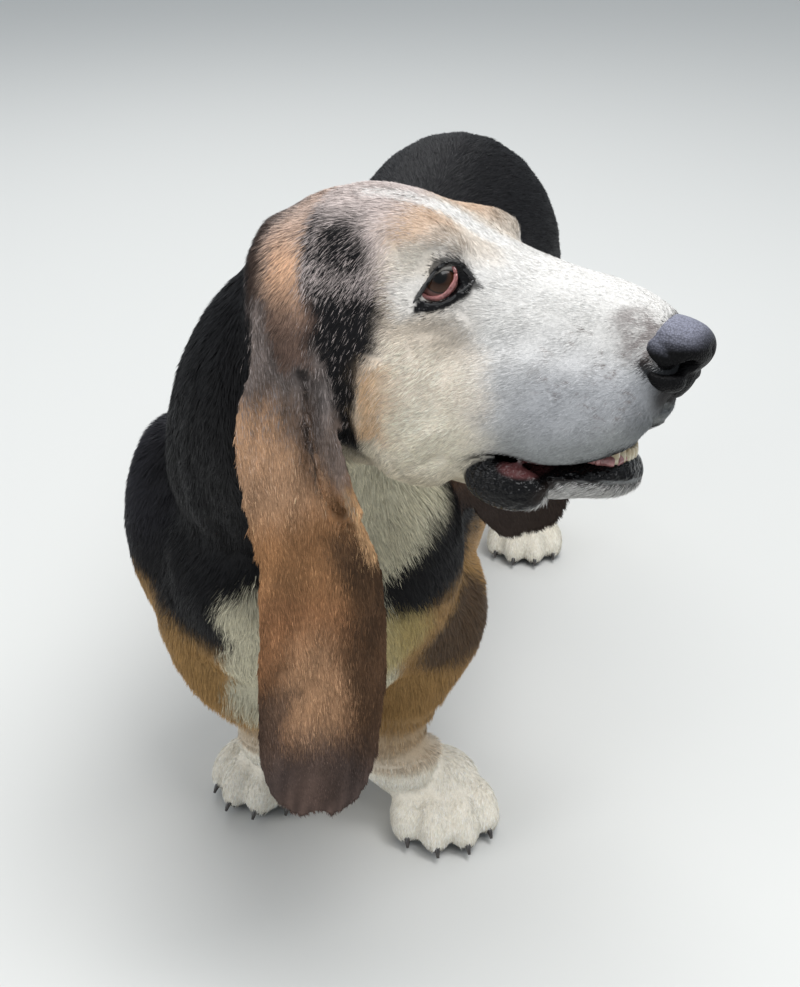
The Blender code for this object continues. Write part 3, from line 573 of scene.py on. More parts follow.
HAW_PATH = (
    (-0.0127, 0.0452, 0.0000), (-0.0090, 0.0448, -0.0016), (-0.0045, 0.0438, -0.0015),
    (-0.0007, 0.0428, 0.0003), (0.0020, 0.0418, 0.0037), (0.0038, 0.0412, 0.0077),
    (0.0035, 0.0405, 0.0118), (0.0019, 0.0400, 0.0143),
)


def lid_rows(path, radius, sink=0.0):
    """Stations along a lid, thinner at its ends; sink moves them towards the middle of the head."""
    rows = smooth_rows(path, 4)
    made = []
    for i, (x, y, z) in enumerate(rows):
        size = radius * (0.6 + 0.4 * math.sin(math.pi * i / (len(rows) - 1)) ** 0.5)
        made.append((x, y - sink, z, size, size, size))
    return made


def lids_clay(radius, sink=0.0):
    """The upper and lower lid of both eyes."""
    lids = [loft(lid_rows(path, radius, sink), across=(0, 1, 0), sides=12, steps=1) for path in (UPPER_LID, LOWER_LID)]
    return both_sides(lids)


def eye_opening():
    """The almond of the lids' opening, on both sides."""
    return both_sides([blob((-0.0022, 0.0520, 0.0045), (0.0150, 0.0165, 0.0090), (0, -30, 0), 3)])


def ear_sheet(rows, across, curl, valley, columns=22, steps=5):
    """An ear's leather: rows of x, y, z and half width, with a rolled front edge near its root."""
    rows = smooth_rows(rows, steps)
    fronts, backs = [], []
    count = len(rows)
    for i, (x, y, z, width) in enumerate(rows):
        ahead = unit(rows[min(i + 1, count - 1), :3] - rows[max(i - 1, 0), :3])
        side = np.array(across, float)
        side = unit(side - ahead * side.dot(ahead))
        normal = np.cross(side, ahead)
        share = i / (count - 1)
        for j in range(columns + 1):
            s = math.sin(math.pi * (j / columns - 0.5))
            fold = valley * math.exp(-(((share - 0.30) / 0.13) ** 2) - ((s - 0.40) / 0.16) ** 2)
            wave = curl * (1 - s * s) * min(1.0, width / 0.030) + 0.001 * math.sin(7 * share + 2.5 * s) - fold
            middle = np.array((x, y, z)) + side * width * s + normal * wave
            body = EAR_CLAY_HALF * (0.45 + 0.55 * math.sqrt(max(0.0, 1 - s**4)))
            fronts.append(middle + normal * body)
            backs.append(middle - normal * body)
    wide = columns + 1
    offset = len(fronts)
    faces = []
    for i in range(count - 1):
        for j in range(columns):
            a, b, c, d = i * wide + j, i * wide + j + 1, (i + 1) * wide + j + 1, (i + 1) * wide + j
            faces.append((a, b, c, d))
            faces.append((offset + a, offset + d, offset + c, offset + b))
    rim = [i * wide for i in range(count)] + [(count - 1) * wide + j for j in range(1, wide)]
    rim += [i * wide + columns for i in range(count - 2, -1, -1)] + [j for j in range(columns - 1, 0, -1)]
    for a, b in zip(rim, rim[1:] + rim[:1]):
        faces.append((a, b, offset + b, offset + a))
    mesh = bpy.data.meshes.new("ear")
    mesh.from_pydata([tuple(p) for p in fronts + backs], [], faces)
    return outward(mesh)


def right_ear():
    """The right ear, hanging free in front of the neck: its root sinks into the skull."""
    side = Vector((math.cos(math.radians(14)), math.sin(math.radians(14)), 0))
    inward = Vector((-side.y, side.x, 0))
    root = Vector((0.057, -0.204, 0.0))
    rows = []
    for slide, z, width, sunk in (
        (-0.006, 0.454, 0.012, 0.016), (-0.005, 0.438, 0.016, 0.009), (-0.003, 0.419, 0.020, 0.003),
        (-0.004, 0.394, 0.026, 0.0), (-0.001, 0.372, 0.029, 0.0), (0.006, 0.334, 0.031, 0.0),
        (0.014, 0.305, 0.034, 0.0), (0.015, 0.262, 0.036, 0.0), (0.013, 0.222, 0.036, 0.0),
        (0.011, 0.190, 0.034, 0.0), (0.010, 0.170, 0.029, 0.0), (0.010, 0.157, 0.021, 0.0),
        (0.010, 0.151, 0.010, 0.0),
    ):
        place = root + side * slide + inward * sunk + Vector((0, -0.045 * (0.45 - z), 0))
        rows.append((*place.xy, z, width))
    return ear_sheet(rows, side, 0.010, 0.010)


def left_ear():
    """The left ear, which swings back to lie along the shoulder."""
    rows = [
        (0.080, -0.072, 0.446, 0.015),
        (0.090, -0.060, 0.420, 0.019),
        (0.104, -0.047, 0.384, 0.026),
        (0.121, -0.034, 0.342, 0.031),
        (0.133, -0.020, 0.300, 0.034),
        (0.141, -0.004, 0.265, 0.034),
        (0.143, 0.006, 0.244, 0.029),
        (0.143, 0.012, 0.230, 0.020),
        (0.144, 0.015, 0.224, 0.010),
    ]
    return ear_sheet(rows, (0.95, 0.30, 0), 0.009, 0.008)


def skin_shape():
    """All the flesh as one surface, with the openings for the eyes."""
    place = head_matrix()

    def placed(meshes):
        return [moved(m, place) for m in meshes]

    skull = placed(skull_clay() + flew_clay() + throat_clay())
    body = fused(torso_clay() + neck_clay() + tail_clay() + limbs_clay() + skull, CLAY_VOXEL, 16)
    body = cut_through(body, placed(eye_opening()))
    face = placed(flew_clay() + jaw_clay() + lids_clay(0.0022, 0.0008))
    return fused([body, *face, *paws_clay(), left_ear(), right_ear()], SKIN_VOXEL, 4)


def head_refined(mesh):
    """The mesh with the faces of the head cut in four."""
    to_head = head_matrix().inverted()
    work = bmesh.new()
    work.from_mesh(mesh)
    chosen = set()
    for face in work.faces:
        middle = face.calc_center_median()
        local = to_head @ middle
        if (middle - HEAD_CUT).dot(HEAD_CUT_NORMAL) > 0 and local.x > -0.125 and local.z > -0.125:
            chosen.update(face.edges)
    bmesh.ops.subdivide_edges(work, edges=list(chosen), cuts=1, use_grid_fill=True, smooth=0.6)
    bmesh.ops.triangulate(work, faces=work.faces)
    made = bpy.data.meshes.new("skin")
    work.to_mesh(made)
    work.free()
    return made


class Skin:
    """The skin's points in the design frame and in the head's own, its normals and what grows on it."""

    def __init__(self, mesh):
        self.mesh = mesh
        count = len(mesh.vertices)
        self.points = np.empty((count, 3))
        flat = np.empty(count * 3, np.float32)
        mesh.vertices.foreach_get("co", flat)
        self.points[:] = flat.reshape(-1, 3)
        self.measure()

    def measure(self):
        """Takes the normals and the head's coordinates from the points."""
        self.mesh.vertices.foreach_set("co", self.points.astype(np.float32).ravel())
        self.mesh.update()
        flat = np.empty(len(self.points) * 3, np.float32)
        self.mesh.vertex_normals.foreach_get("vector", flat)
        self.normals = flat.reshape(-1, 3).astype(float)
        back = np.array(head_matrix().inverted())
        self.head = self.points @ back[:3, :3].T + back[:3, 3]
        self.side = np.where(self.head[:, 1] < 0, -1.0, 1.0)
        self.head_normals = self.normals @ back[:3, :3].T
        self.folded = self.head * np.stack([np.ones_like(self.side), self.side, np.ones_like(self.side)], 1)
        self.folded_normals = self.head_normals * np.stack(
            [np.ones_like(self.side), self.side, np.ones_like(self.side)], 1
        )


def stroke_amount(points, path, width):
    """How much of a stroke along the path reaches each point: 1 on it, fading across and at its ends."""
    path = smooth_rows(path, 5)
    low, high = path.min(0) - 3 * width, path.max(0) + 3 * width
    chosen = np.nonzero(((points > low) & (points < high)).all(1))[0]
    near = points[chosen]
    best = np.full(len(chosen), 1e9)
    place = np.zeros(len(chosen))
    spans = len(path) - 1
    for i in range(spans):
        along = path[i + 1] - path[i]
        share = np.clip((near - path[i]) @ along / max(along @ along, 1e-12), 0, 1)
        away = np.linalg.norm(near - path[i] - share[:, None] * along, axis=1)
        closer = away < best
        best[closer] = away[closer]
        place[closer] = (i + share[closer]) / spans
    taper = np.minimum(1, 4 * np.sin(math.pi * np.clip(place, 0.0, 1.0)))
    amount = np.zeros(len(points))
    amount[chosen] = np.exp(-((best / width) ** 2)) * taper
    return amount


def ripple(points, size, seed, waves=10):
    """Smooth noise from -1 to 1 with lumps of about that size."""
    draw = np.random.default_rng(seed)
    total = np.zeros(len(points))
    for _ in range(waves):
        direction = draw.normal(size=3)
        direction *= draw.uniform(0.6, 1.5) / np.linalg.norm(direction)
        total += np.sin(points @ direction * (math.pi / size) + draw.uniform(0, 6.3))
    return np.clip(total / math.sqrt(waves) / 1.2, -1, 1)


def step(value, width):
    """From 0 to 1 as value passes 0, over about that width."""
    t = np.clip(value / width + 0.5, 0, 1)
    return t * t * (3 - 2 * t)


def near(points, centre, radii, edge=0.35):
    """1 inside an ellipsoid, fading to 0 across its edge."""
    away = np.linalg.norm((points - np.array(centre)) / np.array(radii), axis=1)
    return step(1 - away, edge)


# Folds of the face in the head's frame: path, width, and height above the skin (below it where negative).
FACE_FOLDS = (
    (((0.012, 0.034, 0.022), (0.002, 0.041, 0.028), (-0.012, 0.044, 0.028), (-0.026, 0.047, 0.020)), 0.0065, 0.0014),
    (((-0.016, 0.047, 0.010), (-0.008, 0.045, 0.0205), (0.001, 0.041, 0.0225), (0.010, 0.036, 0.016)), 0.0022, -0.0010),
    (((0.012, 0.034, -0.004), (0.004, 0.041, -0.014), (-0.008, 0.046, -0.018), (-0.020, 0.050, -0.016)), 0.0040, -0.0009),
    (((0.010, 0.038, -0.010), (0.000, 0.044, -0.020), (-0.014, 0.048, -0.026)), 0.0060, 0.0010),
    (((-0.034, 0.056, -0.030), (-0.037, 0.056, -0.048), (-0.041, 0.051, -0.070), (-0.047, 0.045, -0.090)), 0.0052, 0.0034),
    (((-0.043, 0.056, -0.030), (-0.047, 0.055, -0.052), (-0.051, 0.050, -0.074), (-0.055, 0.044, -0.092)), 0.0036, -0.0034),
    (((-0.026, 0.056, -0.040), (-0.029, 0.054, -0.060), (-0.033, 0.049, -0.082)), 0.0032, -0.0012),
    (((0.012, 0.040, -0.062), (-0.002, 0.046, -0.070), (-0.016, 0.046, -0.078)), 0.0050, 0.0018),
    (((0.006, 0.044, -0.082), (-0.008, 0.045, -0.088), (-0.022, 0.042, -0.094)), 0.0030, -0.0020),
    (((0.020, 0.027, 0.004), (0.050, 0.026, -0.006), (0.080, 0.023, -0.012)), 0.0065, -0.0008),
    (((0.030, 0.033, -0.030), (0.055, 0.031, -0.034), (0.080, 0.027, -0.036)), 0.0090, 0.0010),
    (((0.113, 0.000, -0.041), (0.110, 0.000, -0.049), (0.104, 0.000, -0.056)), 0.0016, -0.0016),
    (((0.1040, 0.0, -0.0470), (0.1010, 0.006, -0.0520), (0.0970, 0.012, -0.0570)), 0.0070, -0.0036),
)


def sculpt(skin):
    """Presses and raises the folds of the face and the loose skin of the neck and the legs."""
    for path, width, height in FACE_FOLDS:
        amount = stroke_amount(skin.folded, path, width)
        skin.points += skin.normals * (height * amount)[:, None]
    for path, width, height in NECK_FOLDS:
        amount = stroke_amount(skin.points, path, width)
        skin.points += skin.normals * (height * amount)[:, None]
    x, y, z = skin.points.T
    rings = step(0.105 - z, 0.03) * step(z - 0.040, 0.02) * step(0.10 - y, 0.04)
    wobble = 0.006 * ripple(skin.points, 0.05, 5)
    skin.points += skin.normals * (0.0016 * 0.5 * rings * np.sin((z + wobble) * 2 * math.pi / 0.017))[:, None]
    skin.measure()


# The fold down the front of the right ear, and loose skin on neck and shoulders, in the design frame.
EAR_GROOVE = (
    (0.0610, -0.2020, 0.4250), (0.0640, -0.2040, 0.4060), (0.0690, -0.2060, 0.3760),
    (0.0760, -0.2030, 0.3500), (0.0830, -0.2010, 0.3370),
)
NECK_FOLDS = (
    (((-0.010, -0.150, 0.360), (-0.022, -0.150, 0.310), (-0.030, -0.140, 0.255)), 0.010, 0.0030),
    (((-0.030, -0.130, 0.350), (-0.050, -0.125, 0.300), (-0.058, -0.115, 0.240)), 0.010, 0.0025),
    (((0.000, -0.160, 0.350), (-0.006, -0.150, 0.300), (-0.010, -0.148, 0.260)), 0.006, -0.0020),
    (((0.090, -0.140, 0.360), (0.098, -0.120, 0.310), (0.104, -0.090, 0.270)), 0.009, 0.0025),
    ((*EAR_GROOVE,), 0.0032, -0.0060),
    (tuple((x + 0.009, y, z + 0.002) for x, y, z in EAR_GROOVE), 0.0046, 0.0030),
    (((0.052, -0.205, 0.400), (0.058, -0.205, 0.372), (0.064, -0.206, 0.345)), 0.0060, -0.0012),
    (((0.040, -0.214, 0.300), (0.044, -0.214, 0.270), (0.050, -0.215, 0.245)), 0.0080, 0.0012),
)


def ear_closeness(skin):
    """1 on the ears' own skin, 0 elsewhere, for the right ear and for the left one."""
    found = []
    for mesh, low, high in (
        (right_ear(), (-0.02, -0.25, 0.14), (0.115, -0.16, 0.47)),
        (left_ear(), (0.05, -0.12, 0.20), (0.20, 0.05, 0.46)),
    ):
        tree = BVHTree.FromPolygons([v.co for v in mesh.vertices], [p.vertices for p in mesh.polygons])
        inside = ((skin.points > low) & (skin.points < high)).all(1)
        amount = np.zeros(len(skin.points))
        for i in np.nonzero(inside)[0]:
            away = tree.find_nearest(skin.points[i])[3]
            amount[i] = max(0.0, min(1.0, (0.0045 - away) / 0.0025))
        found.append(amount)
    return found


def lip_height(x):
    """The height of the upper lip's edge above the head's middle, at x along the muzzle."""
    return np.interp(
        x,
        (-0.010, 0.012, 0.018, 0.032, 0.042, 0.053, 0.060, 0.070, 0.080, 0.088, 0.093, 0.105),
        (-0.088, -0.0846, -0.0798, -0.0780, -0.0797, -0.0823, -0.0812, -0.0787, -0.0751, -0.0703, -0.0675, -0.0620),
    )


def bare_masks(skin):
    """Where the skin is bare and wet: lips and mouth; where it is black lid; where it is pad."""
    x, y, z = skin.folded.T
    n = skin.folded_normals
    edge = lip_height(x)
    along = step(x - 0.004, 0.006) * step(0.112 - x, 0.004)
    upper_edge = step(edge + 0.0008 - z, 0.0016) * step(-0.55 - n[:, 2], 0.3) * step(z + 0.0905, 0.002)
    inner = step(-0.2 - n[:, 1], 0.3) * step(0.086 - x, 0.004) * step(-0.052 - z, 0.004) * step(y - 0.002, 0.004) * step(z + 0.112, 0.003)
    roof = step(-0.5 - n[:, 2], 0.3) * step(0.027 - y, 0.004) * step(0.084 - x, 0.004) * step(z + 0.080, 0.003) * step(-0.050 - z, 0.004)
    jaw_top = step(n[:, 2] - 0.15, 0.3) * step(-0.0760 - z, 0.003) * step(0.096 - x, 0.003) * step(x - 0.01, 0.004)
    mouth = along * np.clip(upper_edge + inner + roof + jaw_top, 0, 1)
    pouch = near(skin.folded, (0.0335, 0.040, -0.0945), (0.0235, 0.016, 0.0145), 0.2)
    pouch *= step(edge - 0.0004 - z, 0.002)
    band = step(x - 0.045, 0.004) * step(0.097 - x, 0.002) * step(z + 0.0885 + 0.0012 * ripple(skin.folded, 0.006, 31), 0.0015)
    band *= step(edge - 0.0006 - z, 0.0015) * step(-0.0600 - z, 0.002)
    mouth = np.maximum(mouth, band)
    lids = np.zeros(len(x))
    for path, width in ((UPPER_LID, 0.0016), (LOWER_LID, 0.0024), (LID_SHADE, 0.0020)):
        lids = np.maximum(lids, stroke_amount(skin.folded, path, width))
    lids = step(lids - 0.42, 0.3)
    socket = near(skin.folded, (0.0012, 0.0390, 0.0050), (0.0110, 0.0100, 0.0085), 0.3)
    pads = step(0.006 - skin.points[:, 2], 0.003)
    return mouth, pouch, np.maximum(lids, socket), pads


def paint(colours, colour, mask):
    colours += mask[:, None] * (colour - colours)


def body_markings(skin, colours):
    """The black saddle, tan edges and white front, feet and belly of the body; a painted sheen on the right shoulder's
    black, painted yellow bounce light and shade in the chest's white and painted light on the front feet.
    """
    p = skin.points + 0.006 * np.stack([ripple(skin.points, 0.03, s) for s in (1, 2, 3)], 1)
    x, y, z = p.T
    front = step(0.10 - y, 0.06)
    flank = step(0.165 - z + 0.03 * ripple(skin.points, 0.12, 4), 0.03)
    paint(colours, TAN * (0.9, 0.9, 0.75), flank)
    shoulder = step(0.212 - z + 0.20 * (np.abs(x - 0.02) - 0.085), 0.022) * front
    paint(colours, TAN * (0.85, 0.85, 0.65), shoulder)
    # Painted sheen: the black of the right shoulder painted lighter and bluer where it takes the light.
    paint(colours, BLACK * (3.6, 3.7, 4.2), 0.8 * near(p, (-0.085, -0.030, 0.270), (0.060, 0.060, 0.045), 0.9))
    elbow = near(p, (0.112, -0.010, 0.165), (0.028, 0.045, 0.030), 0.5)
    elbow = np.maximum(elbow, near(p, (-0.100, -0.010, 0.165), (0.028, 0.045, 0.022), 0.5))
    paint(colours, UMBER * 0.7, 0.85 * elbow)
    thigh = near(p, (0.0, 0.46, 0.15), (0.13, 0.10, 0.060), 0.4)
    paint(colours, TAN, thigh)
    heights = (0.140, 0.170, 0.212, 0.235, 0.245, 0.252, 0.260, 0.270, 0.282, 0.300, 0.360, 0.420)
    right_edge = np.interp(
        z, heights, (-0.020, -0.022, -0.018, -0.010, -0.006, 0.002, 0.010, 0.020, 0.030, 0.036, 0.040, 0.050),
    )
    left_edge = np.interp(
        z, heights, (0.078, 0.080, 0.082, 0.070, 0.068, 0.082, 0.091, 0.098, 0.104, 0.112, 0.125, 0.140),
    )
    chest = step(x - right_edge, 0.008) * step(left_edge - x, 0.010) * step(-0.045 - y, 0.03) * step(z - 0.145, 0.012)
    # The chest's white, yellowed and darker: partly the coat's own ivory, partly painted yellow bounce light and
    # painted shade.
    paint(colours, WHITE * (0.82, 0.78, 0.60), chest)
    # A cream patch at the chest's left, yellowed more: partly the coat's own cream, partly painted yellow bounce light.
    cream_and_bounce_patch = near(p, (0.082, -0.088, 0.192), (0.026, 0.04, 0.030), 0.5)
    paint(colours, YELLOW * (0.85, 0.74, 0.42), 0.85 * cream_and_bounce_patch)
    belly = step(0.122 - z, 0.02) * step(y - 0.02, 0.05) * step(0.085 - np.abs(x), 0.02)
    paint(colours, WHITE * 0.9, belly)
    sock = step(0.050 - z, 0.034) + 0.35 * step(0.076 - z, 0.04)
    # The front feet painted brighter and warmer than the coat's white: partly their own white, partly painted light.
    paint(colours, WHITE * (1.30, 1.24, 1.10), np.clip(sock, 0, 1) * front)
    hock = step(0.085 - z, 0.03) * step(y - 0.30, 0.05)
    paint(colours, WHITE * (1.20, 1.15, 1.02), hock)
    tail = step(y - 0.562, 0.01)
    paint(colours, BLACK, tail * step(z - 0.13, 0.02))
    paint(colours, WHITE, tail * step(0.12 - z, 0.03))


def column_middle(z):
    """Where the tan column runs from the skull down to the ear: its x at each height, in the head's frame."""
    return np.interp(z, (-0.030, -0.010, 0.012, 0.030), (-0.079, -0.083, -0.088, -0.093))


def head_markings(skin, colours, on_head):
    """White muzzle, cream cheeks, tan brow, white blaze and the black patch over each temple; with painted shade on the
    muzzle's underside, along the lips, under each eye, in the whisker pits and between cheek and ear, painted light on
    the cheeks and under the brows, and painted yellow bounce light low on the head.
    """
    h = skin.folded + 0.0030 * np.stack([ripple(skin.folded, 0.014, s) for s in (6, 7, 8)], 1)
    x, y, z = h.T
    face = np.empty_like(colours)
    face[:] = CREAM
    # Low on the head, on the throat and the lower cheeks, a yellow: partly the coat's cream, partly painted yellow
    # bounce light.
    paint(face, YELLOW, 0.7 * step(-0.060 - z, 0.05) * step(0.03 - x, 0.05))
    paint(face, WHITE, step(x - 0.004 + 0.35 * (z + 0.02), 0.045))
    paint(face, CREAM * 1.15, 0.6 * near(h, (0.004, 0.020, 0.030), (0.026, 0.020, 0.014), 0.8))
    # Painted shade: the white muzzle's underside painted grey, where it turns away from the light above.
    paint(face, PAINTED_SHADE_GREY * 0.80, 0.85 * step(x - 0.030, 0.05) * step(-0.022 - z, 0.040))
    # Painted shade: the hair along the lip's edge painted darker.
    lip_painted_shade = step(0.016 - (z - lip_height(x)), 0.020) * step(x - 0.030, 0.03)
    paint(face, np.array((0.30, 0.31, 0.30)), 0.75 * lip_painted_shade)
    paint(face, FAWN, 0.85 * near(h, (-0.024, 0.028, 0.037), (0.024, 0.020, 0.016), 0.8))
    # Painted shade: the hollow under the eye painted a darker cream.
    paint(face, CREAM * 0.70, 0.7 * near(h, (-0.002, 0.044, -0.020), (0.022, 0.012, 0.011), 0.8))
    paint(face, WHITE, 0.75 * near(h, (-0.018, 0.046, 0.002), (0.0085, 0.012, 0.019), 0.6))
    # The cheeks painted a lighter cream than the muzzle's white: partly their own cream, partly painted light.
    paint(face, WHITE * (1.22, 1.10, 0.96), 0.85 * near(h, (-0.010, 0.048, -0.046), (0.034, 0.020, 0.026), 0.8))
    paint(face, WHITE * (1.20, 1.12, 0.96), 0.7 * near(h, (-0.006, 0.044, -0.076), (0.030, 0.020, 0.020), 0.8))
    # Painted light: a lighter, warmer patch over the shade under the brow, just above the eye.
    paint(face, WHITE * (1.08, 1.0, 0.90), 0.8 * near(h, (-0.017, 0.042, 0.014), (0.015, 0.012, 0.009), 0.8))
    fan = near(h, (0.0005, 0.0315, 0.0275), (0.010, 0.012, 0.008), 0.9)
    paint(face, np.array((0.26, 0.19, 0.13)), 0.6 * fan * step(ripple(skin.folded, 0.0024, 33) + 0.4, 0.8))
    skull = step(-0.034 - x, 0.016)
    paint(face, GREIGE * 1.4, 0.9 * skull * step(z + 0.010, 0.03))
    edge = np.interp(
        z, (-0.070, -0.052, -0.041, -0.030, -0.020, -0.008, 0.006, 0.020, 0.036),
        (-0.050, -0.042, -0.036, -0.031, -0.028, -0.029, -0.032, -0.040, -0.052),
    )
    temple = step(edge - x, 0.012) * step(0.034 - z, 0.014) * step(z + 0.075, 0.01)
    paint(face, BLACK * 1.1, temple)
    middle = column_middle(z)
    column = step(0.0120 - (x - middle), 0.004) * step(x - middle + 0.0070, 0.006) * step(z + 0.016, 0.026)
    paint(face, np.array((0.80, 0.50, 0.32)), 0.95 * column)
    paint(face, GREIGE * 0.8, 0.55 * column * step(middle - 0.001 - x, 0.008))
    paint(face, GREIGE, 0.65 * column * step(z - 0.022, 0.02))
    below = step(0.016 - np.abs(x - middle), 0.008) * step(-0.004 - z, 0.026)
    paint(face, UMBER * (2.4, 2.3, 2.2), 0.9 * below)
    # Black in the hollow between the cheek and the ear: partly the temple's black running down, partly painted shadow.
    paint(face, BLACK * 0.8, near(h, (-0.056, 0.050, -0.072), (0.0155, 0.02, 0.034), 0.5))
    tan_cheek = stroke_amount(h, ((-0.026, 0.057, -0.034), (-0.030, 0.057, -0.056), (-0.035, 0.050, -0.080)), 0.0100)
    paint(face, np.array((0.78, 0.56, 0.37)), 0.8 * tan_cheek * step(x + 0.046, 0.01))
    strip = stroke_amount(h, ((-0.031, 0.057, -0.036), (-0.034, 0.057, -0.056), (-0.038, 0.050, -0.078)), 0.0050)
    paint(face, np.array((0.64, 0.42, 0.24)), 0.8 * step(strip - 0.35, 0.6))
    back = step(middle - 0.0045 - x, 0.010)
    paint(face, UMBER * 0.8, back)
    paint(face, BLACK * 1.1, step(middle - 0.0150 - x, 0.008))
    blaze = stroke_amount(skin.head, (
        (-0.062, -0.013, 0.046), (-0.053, -0.014, 0.046), (-0.040, -0.009, 0.042), (-0.020, -0.006, 0.036),
        (0.002, -0.006, 0.028), (0.024, -0.004, 0.020),
    ), 0.0062)
    paint(face, WHITE * 1.05, step(blaze - 0.35, 0.5))
    paint(face, WHITE * 1.05, step(x - 0.026, 0.02) * step(z + 0.010, 0.02))
    dark_tear = np.maximum(
        near(h, (0.0078, 0.0371, 0.0108), (0.0060, 0.0060, 0.0078), 0.5),
        0.9 * near(h, (0.0108, 0.0363, 0.0068), (0.0042, 0.0050, 0.0040), 0.6),
    )
    paint(face, LIP_BLACK, 0.95 * dark_tear)
    lashes = step(stroke_amount(h, UPPER_LID[2:], 0.0034) - 0.30, 0.30)
    paint(face, LIP_BLACK, 0.85 * lashes)
    under_nose = near(h, (0.108, 0.0, -0.042), (0.016, 0.020, 0.014), 0.7)
    round_nose = np.maximum(
        near(h, (0.110, 0.0, -0.022), (0.014, 0.019, 0.018), 0.2), step(stroke_amount(h, NOSTRIL_SLIT, 0.0042) - 0.3, 0.3)
    )
    paint(face, LIP_BLACK, round_nose)
    paint(face, UMBER * (0.35, 0.45, 0.55), 0.95 * under_nose)
    grey_front = near(h, (0.102, 0.010, -0.046), (0.020, 0.022, 0.020), 0.9)
    paint(face, np.array((0.14, 0.15, 0.16)), 0.6 * grey_front * (1 - under_nose))
    side_nose = near(h, (0.095, 0.021, -0.012), (0.013, 0.012, 0.012), 0.9)
    mottle = 0.35 + 0.65 * step(ripple(skin.folded, 0.0040, 34) + 0.1, 0.5)
    paint(face, UMBER * (2.6, 3.2, 3.8), 0.8 * side_nose * mottle)
    # Painted shade: small dark spots over the muzzle's side stand in for the whisker pits.
    whisker_pit_shade = ripple(skin.folded, 0.0030, 9) + 0.3 * ripple(skin.folded, 0.009, 10)
    zone = near(h, (0.074, 0.030, -0.030), (0.030, 0.02, 0.030), 0.6)
    paint(face, UMBER * 1.5, 0.55 * step(whisker_pit_shade - 0.92, 0.2) * zone)
    for i in range(3):
        colours[:, i] += on_head * (face[:, i] - colours[:, i])


def ear_markings(skin, colours, right, left):
    """Brown leather-coloured ears, grey-black at the root, dark at the tip and orange-tan inside the fold; painted
    shade down the near ear's front fold and over the whole far ear.
    """
    x, y, z = (skin.points + 0.006 * np.stack([ripple(skin.points, 0.030, s) for s in (12, 13, 14)], 1)).T
    middle = np.interp(z, (0.15, 0.26, 0.33, 0.45), (0.067, 0.071, 0.062, 0.053))
    across = x - middle
    ear = np.empty_like(colours)
    ear[:] = BROWN
    paint(ear, BROWN * (1.15, 1.20, 1.15), step(z - 0.290, 0.03))
    paint(ear, BROWN * (1.90, 2.40, 3.10), 0.85 * near(skin.points, (0.044, -0.21, 0.376), (0.036, 0.04, 0.040), 0.8))
    paint(ear, BROWN * (1.75, 2.10, 2.50), 0.85 * near(skin.points, (0.066, -0.21, 0.226), (0.019, 0.04, 0.040), 0.9))
    paint(ear, BROWN * (0.24, 0.27, 0.31), 0.90 * step(across - 0.012, 0.014) * step(0.335 - z, 0.03))
    paint(ear, BROWN * (0.30, 0.40, 0.62), 0.85 * step(-0.020 - across, 0.010) * step(0.235 - z, 0.03))
    paint(ear, UMBER * (1.0, 1.05, 1.15), 0.92 * step(0.198 - z, 0.040))
    paint(ear, GREIGE * 0.32, 0.92 * step(z - 0.404, 0.026))
    paint(ear, GREIGE * 0.22, 0.7 * near(skin.points, (0.060, -0.205, 0.408), (0.014, 0.04, 0.030), 0.7))
    # Painted shade: darker along the near ear's front fold.
    paint(ear, UMBER * 0.9, 0.5 * near(skin.points, (0.066, -0.205, 0.382), (0.005, 0.03, 0.026), 0.7))
    # Painted shade: the crease of the front fold painted near black.
    groove = stroke_amount(skin.points, EAR_GROOVE, 0.0030)
    paint(ear, UMBER * 0.35, 0.9 * step(groove - 0.35, 0.4))
    flange = near(skin.points, (0.080, -0.202, 0.392), (0.012, 0.03, 0.034), 0.6)
    paint(ear, GREIGE * 0.42, 0.8 * flange)
    edge = stroke_amount(skin.points, ((0.086, -0.202, 0.362), (0.092, -0.200, 0.338), (0.099, -0.199, 0.312)), 0.0042)
    paint(ear, TAN * (1.35, 1.38, 1.45), 0.85 * step(edge - 0.35, 0.4))
    streaks = ripple(skin.points * (1.0, 1.0, 0.22), 0.0045, 41) + 0.6 * ripple(skin.points * (1.0, 1.0, 0.5), 0.011, 42)
    ear *= (1.0 + 0.30 * np.clip(streaks, -1.3, 1.3))[:, None]
    for i in range(3):
        colours[:, i] += right * (ear[:, i] - colours[:, i])
    # Painted shade: the far ear painted much darker than the near one, less so at its upper front.
    far = np.empty_like(colours)
    far[:] = UMBER * 0.6
    paint(far, BROWN * 0.7, step(z - 0.28, 0.06) * step(-0.01 - y, 0.02))
    for i in range(3):
        colours[:, i] += left * (far[:, i] - colours[:, i])


def tangent(normals, ways):
    ways = ways - normals * (ways * normals).sum(1)[:, None]
    return ways / np.maximum(np.linalg.norm(ways, axis=1), 1e-9)[:, None]


